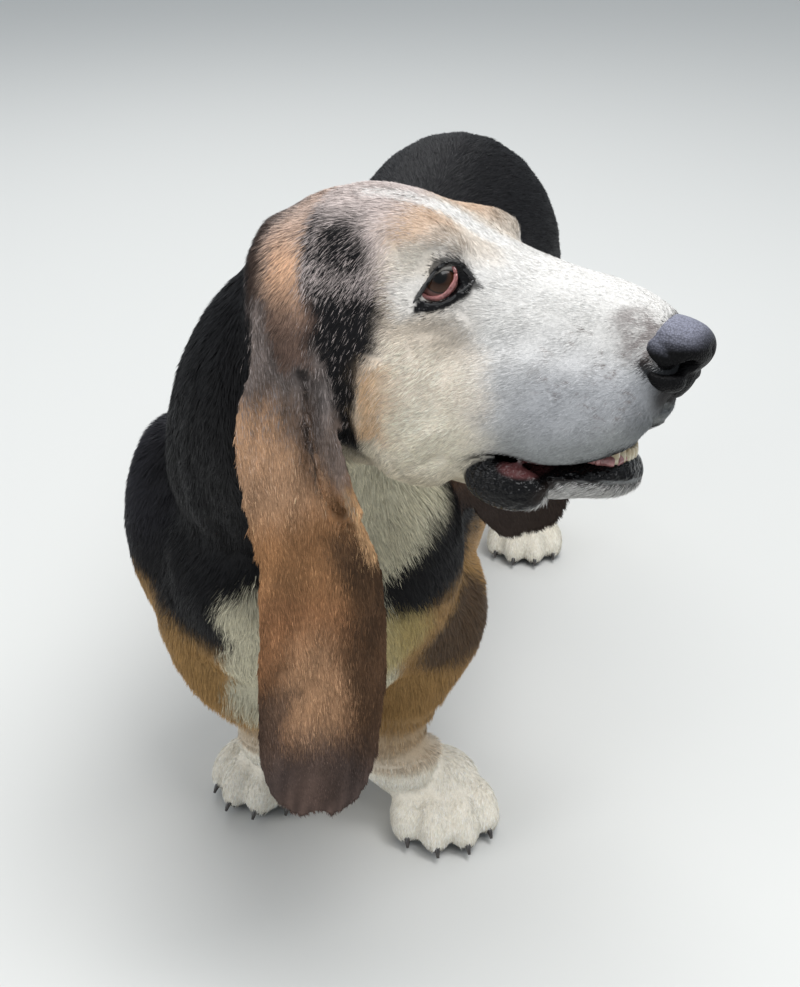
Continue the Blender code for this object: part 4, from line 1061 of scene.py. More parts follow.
def lie_of_coat(skin, on_head, ears):
    """The way the hair lies at each point of the skin."""
    x, y, z = skin.points.T
    count = len(x)

    def blended(layers):
        total = np.zeros((count, 3))
        for weight, way in layers:
            total += np.broadcast_to(np.reshape(weight, (-1, 1)), (count, 1)) * np.array(way)
        return total

    behind = step(y - 0.02, 0.12)
    legs = step(0.15 - z, 0.06)
    paws = step(0.045 - z, 0.02)
    tail = step(y - 0.555, 0.02)
    body = blended([
        (1 - behind, (0.0, 0.25, -1.0)),
        (behind, (0.0, 1.0, -0.45)),
        (2.0 * legs, (0.0, 0.1, -1.0)),
        (2.5 * paws, (0.0, -1.0, -0.3)),
        (4.0 * tail, (0.0, 0.25, -1.0)),
    ])
    body[:, 0] += 0.25 * np.sign(x - 0.01) * step(z - 0.2, 0.1)
    hx, hy, hz = skin.folded.T
    top = step(hz - 0.030, 0.014)
    rear = step(-0.030 - hx, 0.02)
    cheek = step(-0.010 - hz, 0.03)
    head = np.zeros((count, 3))
    head[:, 0] = -1.0 + 0.50 * rear * (1 - top)
    head[:, 2] = 0.35 * top * step(0.02 - hx, 0.03) - 0.55 * cheek - 1.0 * rear * (1 - top)
    head[:, 1] = 0.25 * rear + 0.35 * top * rear
    around = skin.folded - np.array((0.0, 0.040, 0.006))
    ring = np.exp(-((np.linalg.norm(around, axis=1) / 0.024) ** 2))
    head += (ring * 0.35)[:, None] * around / np.maximum(np.linalg.norm(around, axis=1), 1e-6)[:, None]
    head[:, 1] *= skin.side
    turn = np.array(head_matrix())[:3, :3]
    way = body + on_head[:, None] * (head @ turn.T - body)
    for amount, down in zip(ears, ((0.05, 0.0, -1.0), (0.35, 0.30, -0.9))):
        way += amount[:, None] * (np.array(down) - way)
    return tangent(skin.normals, way)


def coat_plan(skin):
    """Fills in the colour, lie, length and closeness of the coat at every point of the skin."""
    out = (skin.points - np.array(HEAD_CUT)) @ np.array(HEAD_CUT_NORMAL)
    x, y, z = skin.folded.T
    on_head = step(out + 0.004 * ripple(skin.points, 0.02, 15), 0.016) * step(z + 0.135, 0.012) * step(x + 0.135, 0.01)
    right, left = ear_closeness(skin)
    colours = np.empty_like(skin.points)
    colours[:] = BLACK
    body_markings(skin, colours)
    head_markings(skin, colours, on_head)
    ear_markings(skin, colours, right, left)
    mouth, pouch, lids, pads = bare_masks(skin)
    bare = np.clip(mouth + pouch + lids + pads, 0, 1)
    paint(colours, LIP_BLACK, np.clip(mouth + pouch, 0, 1))
    inside = near(skin.folded, (0.043, 0.036, -0.0845), (0.012, 0.02, 0.0042), 0.5) * np.maximum(mouth, pouch)
    paint(colours, GUM_PINK * 0.32, 0.9 * inside)
    paint(colours, LIP_BLACK, np.maximum(lids, pads))
    ears = np.maximum(right, left)
    skin.colours = np.clip(colours, 0.003, 1)
    skin.wet = np.clip(mouth + pouch + 0.8 * lids, 0, 1)
    skin.bare = bare
    skin.way = lie_of_coat(skin, on_head, (right, left))
    face = on_head * step(0.030 + x + 0.4 * z, 0.04)
    low = step(0.10 - skin.points[:, 2], 0.05)
    feet = step(0.055 - skin.points[:, 2], 0.03)
    length = 0.0100 - 0.0042 * on_head - 0.0018 * face - (0.0030 * low + 0.0026 * feet) * (1 - on_head)
    length -= 0.0011 * face * step(x - 0.04, 0.04)
    length += ears * (0.0056 - length)
    length *= 1 - 0.45 * ears * step(0.185 - skin.points[:, 2], 0.03)
    skin.length = length
    skin.depth = np.where(on_head > 0.5, 0.0008, 0.0018) * (1 - ears) + 0.0008 * ears
    skin.depth *= np.where(skin.points[:, 2] < 0.06, 0.5, 1.0) * (1 - bare)
    skin.on_head = on_head
    skin.ears = ears
    middle = column_middle(z)
    temple = on_head * step(x - middle - 0.012, 0.004) * step(-0.024 - x, 0.012) * (1 - ears)
    high = step(z + 0.003, 0.010)
    dark_patch = near(skin.folded, (-0.052, 0.040, 0.022), (0.019, 0.03, 0.011), 0.7)
    skin.pepper = temple * (0.05 + 0.57 * high - 0.46 * dark_patch)
    skin.salt = np.empty_like(skin.points)
    skin.salt[:] = GREIGE * 1.35
    column = on_head * step(middle + 0.011 - x, 0.006) * step(x - middle + 0.020, 0.006) * (1 - ears)
    skin.pepper += column * (0.20 + 0.26 * step(middle - x, 0.010))
    paint(skin.salt, UMBER * 0.8, column)
    upper_ear = right * step(skin.points[:, 2] - 0.375, 0.05)
    skin.pepper = np.maximum(skin.pepper, 0.30 * upper_ear)
    paint(skin.salt, GREIGE * 0.75, upper_ear)
    lower_ear = right * (1 - step(skin.points[:, 2] - 0.375, 0.05))
    skin.pepper = np.maximum(skin.pepper, 0.16 * lower_ear)
    paint(skin.salt, skin.colours * (1.7, 1.8, 1.9), lower_ear)
    chin = near(skin.folded, (0.068, 0.0, -0.1010), (0.034, 0.050, 0.0140), 0.3) * step(-0.0885 - z, 0.002)
    paint(skin.colours, UMBER * 0.3, 0.92 * chin * step(x - 0.050, 0.012))
    paint(skin.salt, WHITE * 1.30, chin)
    skin.pepper = np.maximum(skin.pepper, 0.88 * chin)
    skin.length += chin * 0.0022
    rim = ears * step(0.55 - np.abs(skin.normals[:, 1]), 0.4)
    skin.length *= 1 - 0.60 * rim


def neighbours(mesh):
    """Where each point's list of neighbours starts, how long it is, and the lists themselves."""
    ends = np.empty(len(mesh.edges) * 2, np.int32)
    mesh.edges.foreach_get("vertices", ends)
    ends = ends.reshape(-1, 2)
    pairs = np.concatenate([ends, ends[:, ::-1]])
    pairs = pairs[np.argsort(pairs[:, 0], kind="stable")]
    starts = np.searchsorted(pairs[:, 0], np.arange(len(mesh.vertices) + 1))
    return starts[:-1], np.diff(starts), pairs[:, 1]


def strayed(skin, places, steps):
    """Points of the skin a few random steps away from the given ones."""
    starts, counts, ends = skin.neighbours
    for _ in range(steps):
        places = ends[starts[places] + (rng.random(len(places)) * counts[places]).astype(int)]
    return places


def root_sampling(skin):
    """The skin's triangles and their areas."""
    mesh = skin.mesh
    mesh.calc_loop_triangles()
    corners = np.empty(len(mesh.loop_triangles) * 3, np.int32)
    mesh.loop_triangles.foreach_get("vertices", corners)
    corners = corners.reshape(-1, 3)
    a, b, c = (skin.points[corners[:, i]] for i in range(3))
    area = np.linalg.norm(np.cross(b - a, c - a), axis=1) / 2
    return corners, area


def mesh_from_blades(name, corners, colours, normals, patches):
    """One mesh of flat tapering blades, three corners each, that take the light as round strands would."""
    count = len(corners)
    mesh = bpy.data.meshes.new(name)
    mesh.vertices.add(count * 3)
    mesh.vertices.foreach_set("co", corners.astype(np.float32).ravel())
    mesh.loops.add(count * 3)
    mesh.loops.foreach_set("vertex_index", np.arange(count * 3, dtype=np.int32))
    mesh.polygons.add(count)
    mesh.polygons.foreach_set("loop_start", np.arange(0, count * 3, 3, dtype=np.int32))
    mesh.polygons.foreach_set("use_smooth", np.ones(count, bool))
    mesh.update(calc_edges=True)
    mesh.normals_split_custom_set(normals.reshape(-1, 3))
    layer = mesh.color_attributes.new("coat", "FLOAT_COLOR", "POINT")
    rgba = np.ones((count, 3, 4), np.float32)
    rgba[:, :, :3] = colours
    layer.data.foreach_set("color", rgba.ravel())
    if patches is not None:
        spot = np.array(((0, 0), (1, 0), (0.5, 1))) * PATCH_SIZE
        uv = mesh.uv_layers.new(name="OFBake")
        uv.data.foreach_set("uv", (patches[:, None, :] + spot).astype(np.float32).ravel())
    return mesh


def grow(skin, name, weight, count, thickness, rise, unwrap):
    """A piece of the coat: blades rooted at random where weight lets them, lying along the coat's way."""
    corners, area = skin.triangles
    chance = area * weight[corners].mean(1)
    chance *= 1 - np.clip(skin.bare[corners].mean(1) * 1.6, 0, 1)
    chance /= chance.sum()
    chosen = rng.choice(len(corners), size=count, p=chance)
    u = np.sqrt(rng.random(count))
    v = rng.random(count)
    mix = np.stack([1 - u, u * (1 - v), u * v], 1)
    trio = corners[chosen]

    def at(values):
        picked = values[trio]
        return (picked * (mix if values.ndim == 1 else mix[:, :, None])).sum(1)

    roots, ups, ways = at(skin.points), at(skin.normals), at(skin.way)
    ups /= np.linalg.norm(ups, axis=1)[:, None]
    length = at(skin.length) * rng.uniform(0.6, 1.2, count)
    swing = ripple(roots, 0.008, 21) * 0.16 + ripple(roots, 0.0025, 22) * 0.14 + rng.normal(0, 0.10, count)
    across = np.cross(ups, ways)
    ways = tangent(ups, ways + across * swing[:, None])
    across = np.cross(ups, ways)
    roll = rng.normal(0, 0.35, count)
    flat = across * np.cos(roll)[:, None] + ups * np.sin(roll)[:, None]
    half = flat * (thickness * rng.uniform(0.35, 0.65, count))[:, None]
    tilt = rise * rng.uniform(0.4, 1.6, count) * (1 + 0.3 * ripple(roots, 0.010, 23))
    start = roots - ups * 0.0002
    tip = start + (ways * np.cos(tilt)[:, None] + ups * np.sin(tilt)[:, None]) * length[:, None]
    blades = np.stack([start + half, start - half, tip], 1)
    lean = rng.normal(0, 0.22, (count, 2))
    soft = ups + across * lean[:, :1] + ways * (lean[:, 1:] - 0.10)
    normals = np.stack([soft + 0.35 * across, soft - 0.35 * across, soft], 1)
    normals /= np.linalg.norm(normals, axis=2)[:, :, None]
    places = strayed(skin, trio[np.arange(count), mix.argmax(1)], STRAY_STEPS)
    colour = skin.colours[places]
    salt = rng.random(count) < skin.pepper[places]
    colour[salt] += (skin.salt[places[salt]] - colour[salt]) * rng.uniform(0.3, 1.0, salt.sum())[:, None]
    colour *= rng.uniform(0.74, 1.24, count)[:, None]
    # Painted shade and light: each blade painted darker at its root and lighter at its tip.
    shade = np.array((0.70, 0.70, 1.12))
    root_shaded_colours = np.clip(colour[:, None, :] * shade[None, :, None], 0, 1)
    patches = None if unwrap is None else unwrap(chosen, mix)
    mesh = mesh_from_blades(name, blades, root_shaded_colours, normals, patches)
    mesh.materials.append(coat_material())
    return new_object(name, mesh)


def skin_unwrap(skin):
    """A function from roots on the skin to their places on an unwrap of the skin's own shape."""
    mesh = skin.mesh
    bpy.ops.object.select_all(action="DESELECT")
    work = new_object("unwrap", mesh.copy())
    bpy.context.view_layer.objects.active = work
    work.select_set(True)
    bpy.ops.object.mode_set(mode="EDIT")
    bpy.ops.mesh.select_all(action="SELECT")
    bpy.ops.uv.smart_project(angle_limit=math.radians(72), island_margin=0.002)
    bpy.ops.object.mode_set(mode="OBJECT")
    flat = np.empty(len(work.data.loops) * 2, np.float32)
    work.data.uv_layers.active.data.foreach_get("uv", flat)
    bpy.data.objects.remove(work)
    flat = flat.reshape(-1, 3, 2)

    def places(chosen, mix):
        return (flat[chosen] * mix[:, :, None]).sum(1) * 0.995

    return places


MATERIALS = {}
PATCH_SIZE = 0.003
STRAY_STEPS = 4


def node_material(name):
    material = bpy.data.materials.new(name)
    material.use_nodes = True
    tree = material.node_tree
    return material, tree, tree.nodes["Principled BSDF"]


def coat_material():
    """Hair: its stored colour, painted darker at the root and lighter at the tip as painted shade and light, with a
    soft broken sheen.
    """
    if "coat" in MATERIALS:
        return MATERIALS["coat"]
    material, tree, shader = node_material("coat")
    colour = tree.nodes.new("ShaderNodeVertexColor")
    colour.layer_name = "coat"
    where = tree.nodes.new("ShaderNodeTexCoord")
    noise = tree.nodes.new("ShaderNodeTexNoise")
    tree.links.new(where.outputs["Object"], noise.inputs["Vector"])
    noise.inputs["Scale"].default_value = 420
    noise.inputs["Detail"].default_value = 2
    spread = tree.nodes.new("ShaderNodeMapRange")
    spread.inputs["To Min"].default_value = 0.82
    spread.inputs["To Max"].default_value = 1.18
    tree.links.new(noise.outputs["Fac"], spread.inputs["Value"])
    mixed = tree.nodes.new("ShaderNodeVectorMath")
    mixed.operation = "SCALE"
    tree.links.new(colour.outputs["Color"], mixed.inputs[0])
    tree.links.new(spread.outputs["Result"], mixed.inputs["Scale"])
    tree.links.new(mixed.outputs[0], shader.inputs["Base Color"])
    shader.inputs["Roughness"].default_value = 0.50
    shader.inputs["Specular IOR Level"].default_value = 0.13
    MATERIALS["coat"] = material
    return material


def skin_material():
    """Skin under the coat, with the coat's own colours; bare and wet round the mouth and the eyes."""
    material, tree, shader = node_material("skin")
    colour = tree.nodes.new("ShaderNodeVertexColor")
    colour.layer_name = "coat"
    where = tree.nodes.new("ShaderNodeTexCoord")
    noise = tree.nodes.new("ShaderNodeTexNoise")
    tree.links.new(where.outputs["Object"], noise.inputs["Vector"])
    noise.inputs["Scale"].default_value = 700
    noise.inputs["Detail"].default_value = 4
    spread = tree.nodes.new("ShaderNodeMapRange")
    spread.inputs["To Min"].default_value = 0.70
    spread.inputs["To Max"].default_value = 1.05
    tree.links.new(noise.outputs["Fac"], spread.inputs["Value"])
    mixed = tree.nodes.new("ShaderNodeVectorMath")
    mixed.operation = "SCALE"
    tree.links.new(colour.outputs["Color"], mixed.inputs[0])
    tree.links.new(spread.outputs["Result"], mixed.inputs["Scale"])
    tree.links.new(mixed.outputs[0], shader.inputs["Base Color"])
    wet = tree.nodes.new("ShaderNodeAttribute")
    wet.attribute_name = "wet"
    gloss = tree.nodes.new("ShaderNodeMapRange")
    gloss.inputs["To Min"].default_value = 0.75
    gloss.inputs["To Max"].default_value = 0.09
    tree.links.new(wet.outputs["Fac"], gloss.inputs["Value"])
    tree.links.new(gloss.outputs["Result"], shader.inputs["Roughness"])
    wrinkles = tree.nodes.new("ShaderNodeTexNoise")
    tree.links.new(where.outputs["Object"], wrinkles.inputs["Vector"])
    wrinkles.inputs["Scale"].default_value = 300
    wrinkles.inputs["Detail"].default_value = 2
    bump = tree.nodes.new("ShaderNodeBump")
    bump.inputs["Distance"].default_value = 0.0022
    depth = tree.nodes.new("ShaderNodeMapRange")
    depth.inputs["To Min"].default_value = 0.4
    depth.inputs["To Max"].default_value = 1.0
    tree.links.new(wet.outputs["Fac"], depth.inputs["Value"])
    tree.links.new(depth.outputs["Result"], bump.inputs["Strength"])
    tree.links.new(wrinkles.outputs["Fac"], bump.inputs["Height"])
    tree.links.new(bump.outputs["Normal"], shader.inputs["Normal"])
    shader.inputs["Specular IOR Level"].default_value = 0.20
    return material


def finished_skin(skin):
    """The skin as a piece, sunk by the coat's depth, with its colours and wetness stored on it."""
    skin.points -= skin.normals * skin.depth[:, None]
    skin.points[:, 2] = np.maximum(skin.points[:, 2], 0.0004)
    skin.measure()
    mesh = skin.mesh
    store_colours(mesh, skin.colours * 0.9)
    wet = mesh.attributes.new("wet", "FLOAT", "POINT")
    wet.data.foreach_set("value", skin.wet.astype(np.float32))
    mesh.shade_smooth()
    mesh.materials.append(skin_material())
    return new_object("skin", mesh)


def store_colours(mesh, colours):
    """Stores a colour for each of the mesh's points."""
    layer = mesh.color_attributes.new("coat", "FLOAT_COLOR", "POINT")
    rgba = np.ones((len(colours), 4), np.float32)
    rgba[:, :3] = colours
    layer.data.foreach_set("color", rgba.ravel())


def smooth_piece(name, mesh, material):
    mesh.shade_smooth()
    mesh.materials.append(material)
    return new_object(name, mesh)


# The way each eye looks, in the head's frame, for the side it is on.
GAZE = {-1: Vector((0.32, -0.88, 0.38)).normalized(), 1: Vector((0.80, 0.60, 0.10)).normalized()}
IRIS_RADIUS = 0.0076
PUPIL_RADIUS = 0.0030


def eye_piece(side):
    """An eyeball with its clear front standing a little proud over the iris."""
    work = bmesh.new()
    bmesh.ops.create_uvsphere(work, u_segments=64, v_segments=48, radius=EYE_RADIUS)
    for vert in work.verts:
        away = math.hypot(vert.co.x, vert.co.y) / IRIS_RADIUS
        if vert.co.z > 0 and away < 1.25:
            vert.co.z += 0.0012 * (1 - (away / 1.25) ** 2)
    turn = GAZE[side].to_track_quat("Z", "Y").to_matrix().to_4x4()
    centre = Matrix.Translation((EYE_CENTRE.x, side * EYE_CENTRE.y, EYE_CENTRE.z))
    bmesh.ops.transform(work, matrix=head_matrix() @ centre @ turn, verts=work.verts)
    mesh = bpy.data.meshes.new("eye")
    work.to_mesh(mesh)
    work.free()
    name = "eye_left" if side > 0 else "eye_right"
    return smooth_piece(f"{name}_ball", mesh, eye_material(side, head_matrix() @ centre @ turn))


def eye_material(side, place):
    """Brown iris with darker rays and rim, black pupil, clouded white, all under a wet clear coat."""
    material, tree, shader = node_material(f"eye_{'left' if side > 0 else 'right'}")
    made, link = tree.nodes.new, tree.links.new
    where = made("ShaderNodeTexCoord")
    centre = made("ShaderNodeVectorMath")
    centre.operation = "SUBTRACT"
    centre.inputs[1].default_value = SHIFT + place.to_translation()
    link(where.outputs["Object"], centre.inputs[0])
    along = made("ShaderNodeVectorMath")
    along.operation = "DOT_PRODUCT"
    gaze = (head_matrix().to_3x3() @ GAZE[side]).normalized()
    along.inputs[1].default_value = gaze
    unit_way = made("ShaderNodeVectorMath")
    unit_way.operation = "NORMALIZE"
    link(centre.outputs[0], unit_way.inputs[0])
    link(unit_way.outputs[0], along.inputs[0])
    ramp = made("ShaderNodeValToRGB")
    link(along.outputs["Value"], ramp.inputs["Fac"])
    iris_edge = math.sqrt(1 - (IRIS_RADIUS / EYE_RADIUS) ** 2)
    pupil_edge = math.sqrt(1 - (PUPIL_RADIUS / EYE_RADIUS) ** 2)
    stops = (
        (0.0, (0.30, 0.13, 0.11, 1)),
        (iris_edge - 0.045, (0.16, 0.08, 0.07, 1)),
        (iris_edge, (0.004, 0.003, 0.003, 1)),
        (iris_edge + 0.035, (0.055, 0.021, 0.008, 1)),
        (pupil_edge - 0.020, (0.020, 0.008, 0.004, 1)),
        (pupil_edge, (0.001, 0.001, 0.001, 1)),
    )
    points = ramp.color_ramp.elements
    while len(points) < len(stops):
        points.new(0.5)
    for point, (position, colour) in zip(points, stops):
        point.position = position
        point.color = colour
    noise = made("ShaderNodeTexNoise")
    noise.inputs["Scale"].default_value = 700
    noise.inputs["Detail"].default_value = 3
    spread = made("ShaderNodeMapRange")
    spread.inputs["To Min"].default_value = 0.45
    spread.inputs["To Max"].default_value = 1.6
    link(noise.outputs["Fac"], spread.inputs["Value"])
    mixed = made("ShaderNodeVectorMath")
    mixed.operation = "SCALE"
    link(ramp.outputs["Color"], mixed.inputs[0])
    link(spread.outputs["Result"], mixed.inputs["Scale"])
    link(mixed.outputs[0], shader.inputs["Base Color"])
    shader.inputs["Roughness"].default_value = 0.30
    shader.inputs["Specular IOR Level"].default_value = 0.10
    shader.inputs["Coat Weight"].default_value = 0.7
    shader.inputs["Coat Roughness"].default_value = 0.02
    shader.inputs["Coat IOR"].default_value = 1.33
    return material


def wet_material(name, colour, roughness, scale, depth, spots=None):
    """Moist bare skin: a mottled colour with fine wrinkles under a clear film."""
    material, tree, shader = node_material(name)
    made, link = tree.nodes.new, tree.links.new
    where = made("ShaderNodeTexCoord")
    noise = made("ShaderNodeTexNoise")
    link(where.outputs["Object"], noise.inputs["Vector"])
    noise.inputs["Scale"].default_value = 260
    noise.inputs["Detail"].default_value = 5
    ramp = made("ShaderNodeValToRGB")
    first, last = ramp.color_ramp.elements
    first.position, last.position = 0.42, 0.60
    first.color = (*(spots if spots is not None else np.array(colour) * 0.55), 1)
    last.color = (*colour, 1)
    link(noise.outputs["Fac"], ramp.inputs["Fac"])
    link(ramp.outputs["Color"], shader.inputs["Base Color"])
    fine = made("ShaderNodeTexNoise")
    link(where.outputs["Object"], fine.inputs["Vector"])
    fine.inputs["Scale"].default_value = scale
    fine.inputs["Detail"].default_value = 3
    bump = made("ShaderNodeBump")
    bump.inputs["Distance"].default_value = depth
    link(fine.outputs["Fac"], bump.inputs["Height"])
    link(bump.outputs["Normal"], shader.inputs["Normal"])
    shader.inputs["Roughness"].default_value = roughness
    shader.inputs["Coat Weight"].default_value = 0.6
    shader.inputs["Coat Roughness"].default_value = 0.06
    return material


def lid_rims(side):
    """The bare black edges of one eye's lids."""
    meshes = lids_clay(0.0010, 0.0003)
    rims = joined([m for m in meshes if np.sign(sum(v.co.y for v in m.vertices)) == side])
    rims.transform(head_matrix())
    name = "lid_rims_left" if side > 0 else "lid_rims_right"
    return smooth_piece(name, rims, wet_material(name, (0.006, 0.005, 0.005), 0.28, 900, 0.0003))


def haw_piece(side):
    """The pink inner lid, a thin crescent on the eyeball from the outer corner round to the inner one."""
    rows = smooth_rows(HAW_PATH, 4)
    made = []
    for i, (x, y, z) in enumerate(rows):
        size = 0.0004 + 0.0013 * math.sin(math.pi * i / (len(rows) - 1)) ** 0.7
        made.append((x, y - 0.0012, z, size, size * 0.8, size * 0.8))
    mesh = loft(made, across=(0.3, 0.2, 1), sides=14, steps=1)
    if side < 0:
        mesh = moved(mesh, Matrix.Diagonal((1, -1, 1, 1)))
    mesh.transform(head_matrix())
    name = "haw_left" if side > 0 else "haw_right"
    return smooth_piece(name, mesh, wet_material(name, (0.36, 0.14, 0.13), 0.15, 700, 0.0004, (0.16, 0.05, 0.05)))


def nose_material():
    """Moist black pebbled leather; its bluish sheen is painted into its colours, and the cracks between the pebbles are
    darkened as painted shade.
    """
    material, tree, shader = node_material("nose")
    made, link = tree.nodes.new, tree.links.new
    colour = made("ShaderNodeVertexColor")
    colour.layer_name = "coat"
    where = made("ShaderNodeTexCoord")
    cells = made("ShaderNodeTexVoronoi")
    link(where.outputs["Object"], cells.inputs["Vector"])
    cells.inputs["Scale"].default_value = 900
    cells.inputs["Randomness"].default_value = 0.9
    # Painted shade: each pebble's colour darker towards its edges, in the cracks between pebbles.
    spread = made("ShaderNodeMapRange")
    spread.inputs["From Max"].default_value = 0.7
    spread.inputs["To Min"].default_value = 1.15
    spread.inputs["To Max"].default_value = 0.55
    link(cells.outputs["Distance"], spread.inputs["Value"])
    mixed = made("ShaderNodeVectorMath")
    mixed.operation = "SCALE"
    link(colour.outputs["Color"], mixed.inputs[0])
    link(spread.outputs["Result"], mixed.inputs["Scale"])
    link(mixed.outputs[0], shader.inputs["Base Color"])
    bump = made("ShaderNodeBump")
    bump.invert = True
    bump.inputs["Distance"].default_value = 0.0007
    bump.inputs["Strength"].default_value = 0.8
    link(cells.outputs["Distance"], bump.inputs["Height"])
    link(bump.outputs["Normal"], shader.inputs["Normal"])
    shader.inputs["Roughness"].default_value = 0.38
    shader.inputs["Specular IOR Level"].default_value = 0.07
    shader.inputs["Coat Weight"].default_value = 0.02
    shader.inputs["Coat Roughness"].default_value = 0.25
    return material


# The slit of a nostril from its outer end forward and up, and the middle of its opening, in the head's frame.
NOSTRIL_SLIT = (
    (0.0950, 0.0225, -0.0195), (0.0995, 0.0218, -0.0245), (0.1045, 0.0200, -0.0288),
    (0.1095, 0.0170, -0.0295), (0.1145, 0.0130, -0.0270), (0.1185, 0.0100, -0.0228),
)
NOSTRIL_HOLE = (0.1148, 0.0120, -0.0258)
NOSTRIL_RIM = (
    (0.1000, 0.0200, -0.0290), (0.1060, 0.0180, -0.0335), (0.1120, 0.0135, -0.0325), (0.1165, 0.0100, -0.0285),
)
NOSE_GROOVE = ((0.127, 0, -0.014), (0.123, 0, -0.024), (0.117, 0, -0.036), (0.111, 0, -0.044))


def nose_piece():
    """The nose leather with the slit of each nostril pressed into it, with a grey sheen painted where it faces up and
    painted shade inside the nostrils.
    """
    mesh = fused(nose_clay(), 0.0008, 12)
    nose = Skin(mesh)
    folded = nose.points * np.where(nose.points[:, 1:2] < 0, (1.0, -1.0, 1.0), 1.0)
    right_half = nose.points[nose.points[:, 1] < 0] * (1.0, -1.0, 1.0)
    slit_path = [right_half[np.argmin(np.linalg.norm(right_half - place, axis=1))] for place in NOSTRIL_SLIT]
    slit = stroke_amount(folded, slit_path, 0.0017)
    hole = near(folded, NOSTRIL_HOLE, (0.0062, 0.0042, 0.0042), 0.8)
    rim = stroke_amount(folded, NOSTRIL_RIM, 0.0013)
    groove = stroke_amount(folded, NOSE_GROOVE, 0.0012)
    up = np.clip(nose.normals[:, 2], 0, 1)
    nose.points -= nose.normals * (0.0042 * slit + 0.0046 * hole - 0.0007 * rim + 0.0010 * groove)[:, None]
    nose.measure()
    colours = np.empty_like(folded)
    colours[:] = NOSE_BLACK
    # Painted sheen: the top of the leather, where it faces up, painted a light bluish grey.
    paint(colours, NOSE_PAINTED_SHEEN, up**1.4 * step(0.1225 - folded[:, 0], 0.010) * step(folded[:, 2] + 0.026, 0.008))
    # Painted shade: darker inside the nostrils.
    paint(colours, NOSE_BLACK * 0.3, np.clip(1.3 * hole + 1.2 * slit, 0, 1))
    store_colours(mesh, colours)
    mesh.transform(head_matrix())
    return smooth_piece("nose_leather", mesh, nose_material())


def jaw_arch(x):
    """Half the distance between the lower gums at x along the jaw."""
    return np.interp(x, (-0.005, 0.020, 0.050, 0.075, 0.085, 0.090), (0.025, 0.024, 0.021, 0.0175, 0.012, 0.0))


def gum_height(x):
    """The height of the gums' middle at x along the jaw: lower at the chin."""
    return float(np.interp(x, (0.066, 0.081), (-0.0775, -0.0793)))


def gum_piece():
    """The lower gums, a ridge round the jaw inside the lip."""
    half = [(x, float(jaw_arch(x))) for x in (0.045, 0.055, 0.066, 0.075, 0.080, 0.0830)]
    path = [(x, -y) for x, y in half] + [(0.0848, 0.0)] + [(x, y) for x, y in reversed(half)]
    rows = [(x, y, gum_height(x), 0.0034, 0.0034, 0.0034) for x, y in path]
    mesh = fused([loft(rows, across=(0.0, 0.0, 1.0), sides=12, steps=4)], 0.0007, 6)
    mesh.transform(head_matrix())
    return smooth_piece("gums", mesh, wet_material("gums", (0.42, 0.19, 0.18), 0.18, 300, 0.0004, (0.30, 0.13, 0.125)))


def tooth(x, y, height, radius, lean):
    foot = gum_height(x)
    rows = [
        (x, y, foot - 0.001, radius, radius, radius),
        (x + 0.3 * lean, y, foot + 0.5 * height, 0.9 * radius, 0.9 * radius, 0.9 * radius),
        (x + 0.8 * lean, y, foot + 0.85 * height, 0.55 * radius, 0.55 * radius, 0.55 * radius),
        (x + lean, y, foot + height, 0.12 * radius, 0.12 * radius, 0.12 * radius),
    ]
    return loft(rows, across=(0, 1, 0), sides=12, steps=3)


def teeth_piece():
    """Lower incisors, canines and cheek teeth."""
    teeth = [tooth(0.0822, 0.0130, 0.0098, 0.0032, 0.0020)]
    for x, y, height in ((0.0850, 0.0090, 0.0054), (0.0864, 0.0054, 0.0052), (0.0870, 0.0018, 0.0048)):
        teeth.append(tooth(x, y, height, 0.0023, 0.0012))
    for x, height in ((0.069, 0.0050), (0.060, 0.0058), (0.050, 0.0062), (0.038, 0.0065)):
        teeth.append(tooth(x, float(jaw_arch(x)), height, 0.0028, 0.0))
    mesh = joined(both_sides(teeth))
    mesh.transform(head_matrix())
    material = wet_material("teeth", (0.62, 0.55, 0.40), 0.25, 150, 0.0002, (0.50, 0.40, 0.25))
    return smooth_piece("lower_teeth", mesh, material)


def tongue_piece():
    place = head_matrix()
    mesh = fused([moved(m, place) for m in tongue_clay()], 0.0012, 4)
    # The tongue: its own pink, painted darker than the gums and spotted dark as painted shade inside the mouth.
    material = wet_material("tongue", (0.24, 0.075, 0.075), 0.28, 500, 0.0010, (0.05, 0.015, 0.015))
    return smooth_piece("tongue_flesh", mesh, material)


def claw_pieces():
    """The claws of each paw: dark horn."""
    material = wet_material("horn", (0.040, 0.033, 0.030), 0.35, 500, 0.0003)
    feet = [("front", side, paw, turn, FORE_PAW_SIZE) for side, _, paw, turn in FORE_FEET]
    feet += [("hind", side, paw, turn, HIND_PAW_SIZE) for side, paw, turn in HIND_FEET]
    made = []
    for end, side, paw, turn, size in feet:
        mesh = joined([moved(m, place_paw(*paw, side * turn)) for m in claws_clay(size)])
        mesh.transform(Matrix.Translation((0, 0, 0.0015)))
        made.append(smooth_piece(f"claws_{end}_{'left' if side > 0 else 'right'}", mesh, material))
    return made


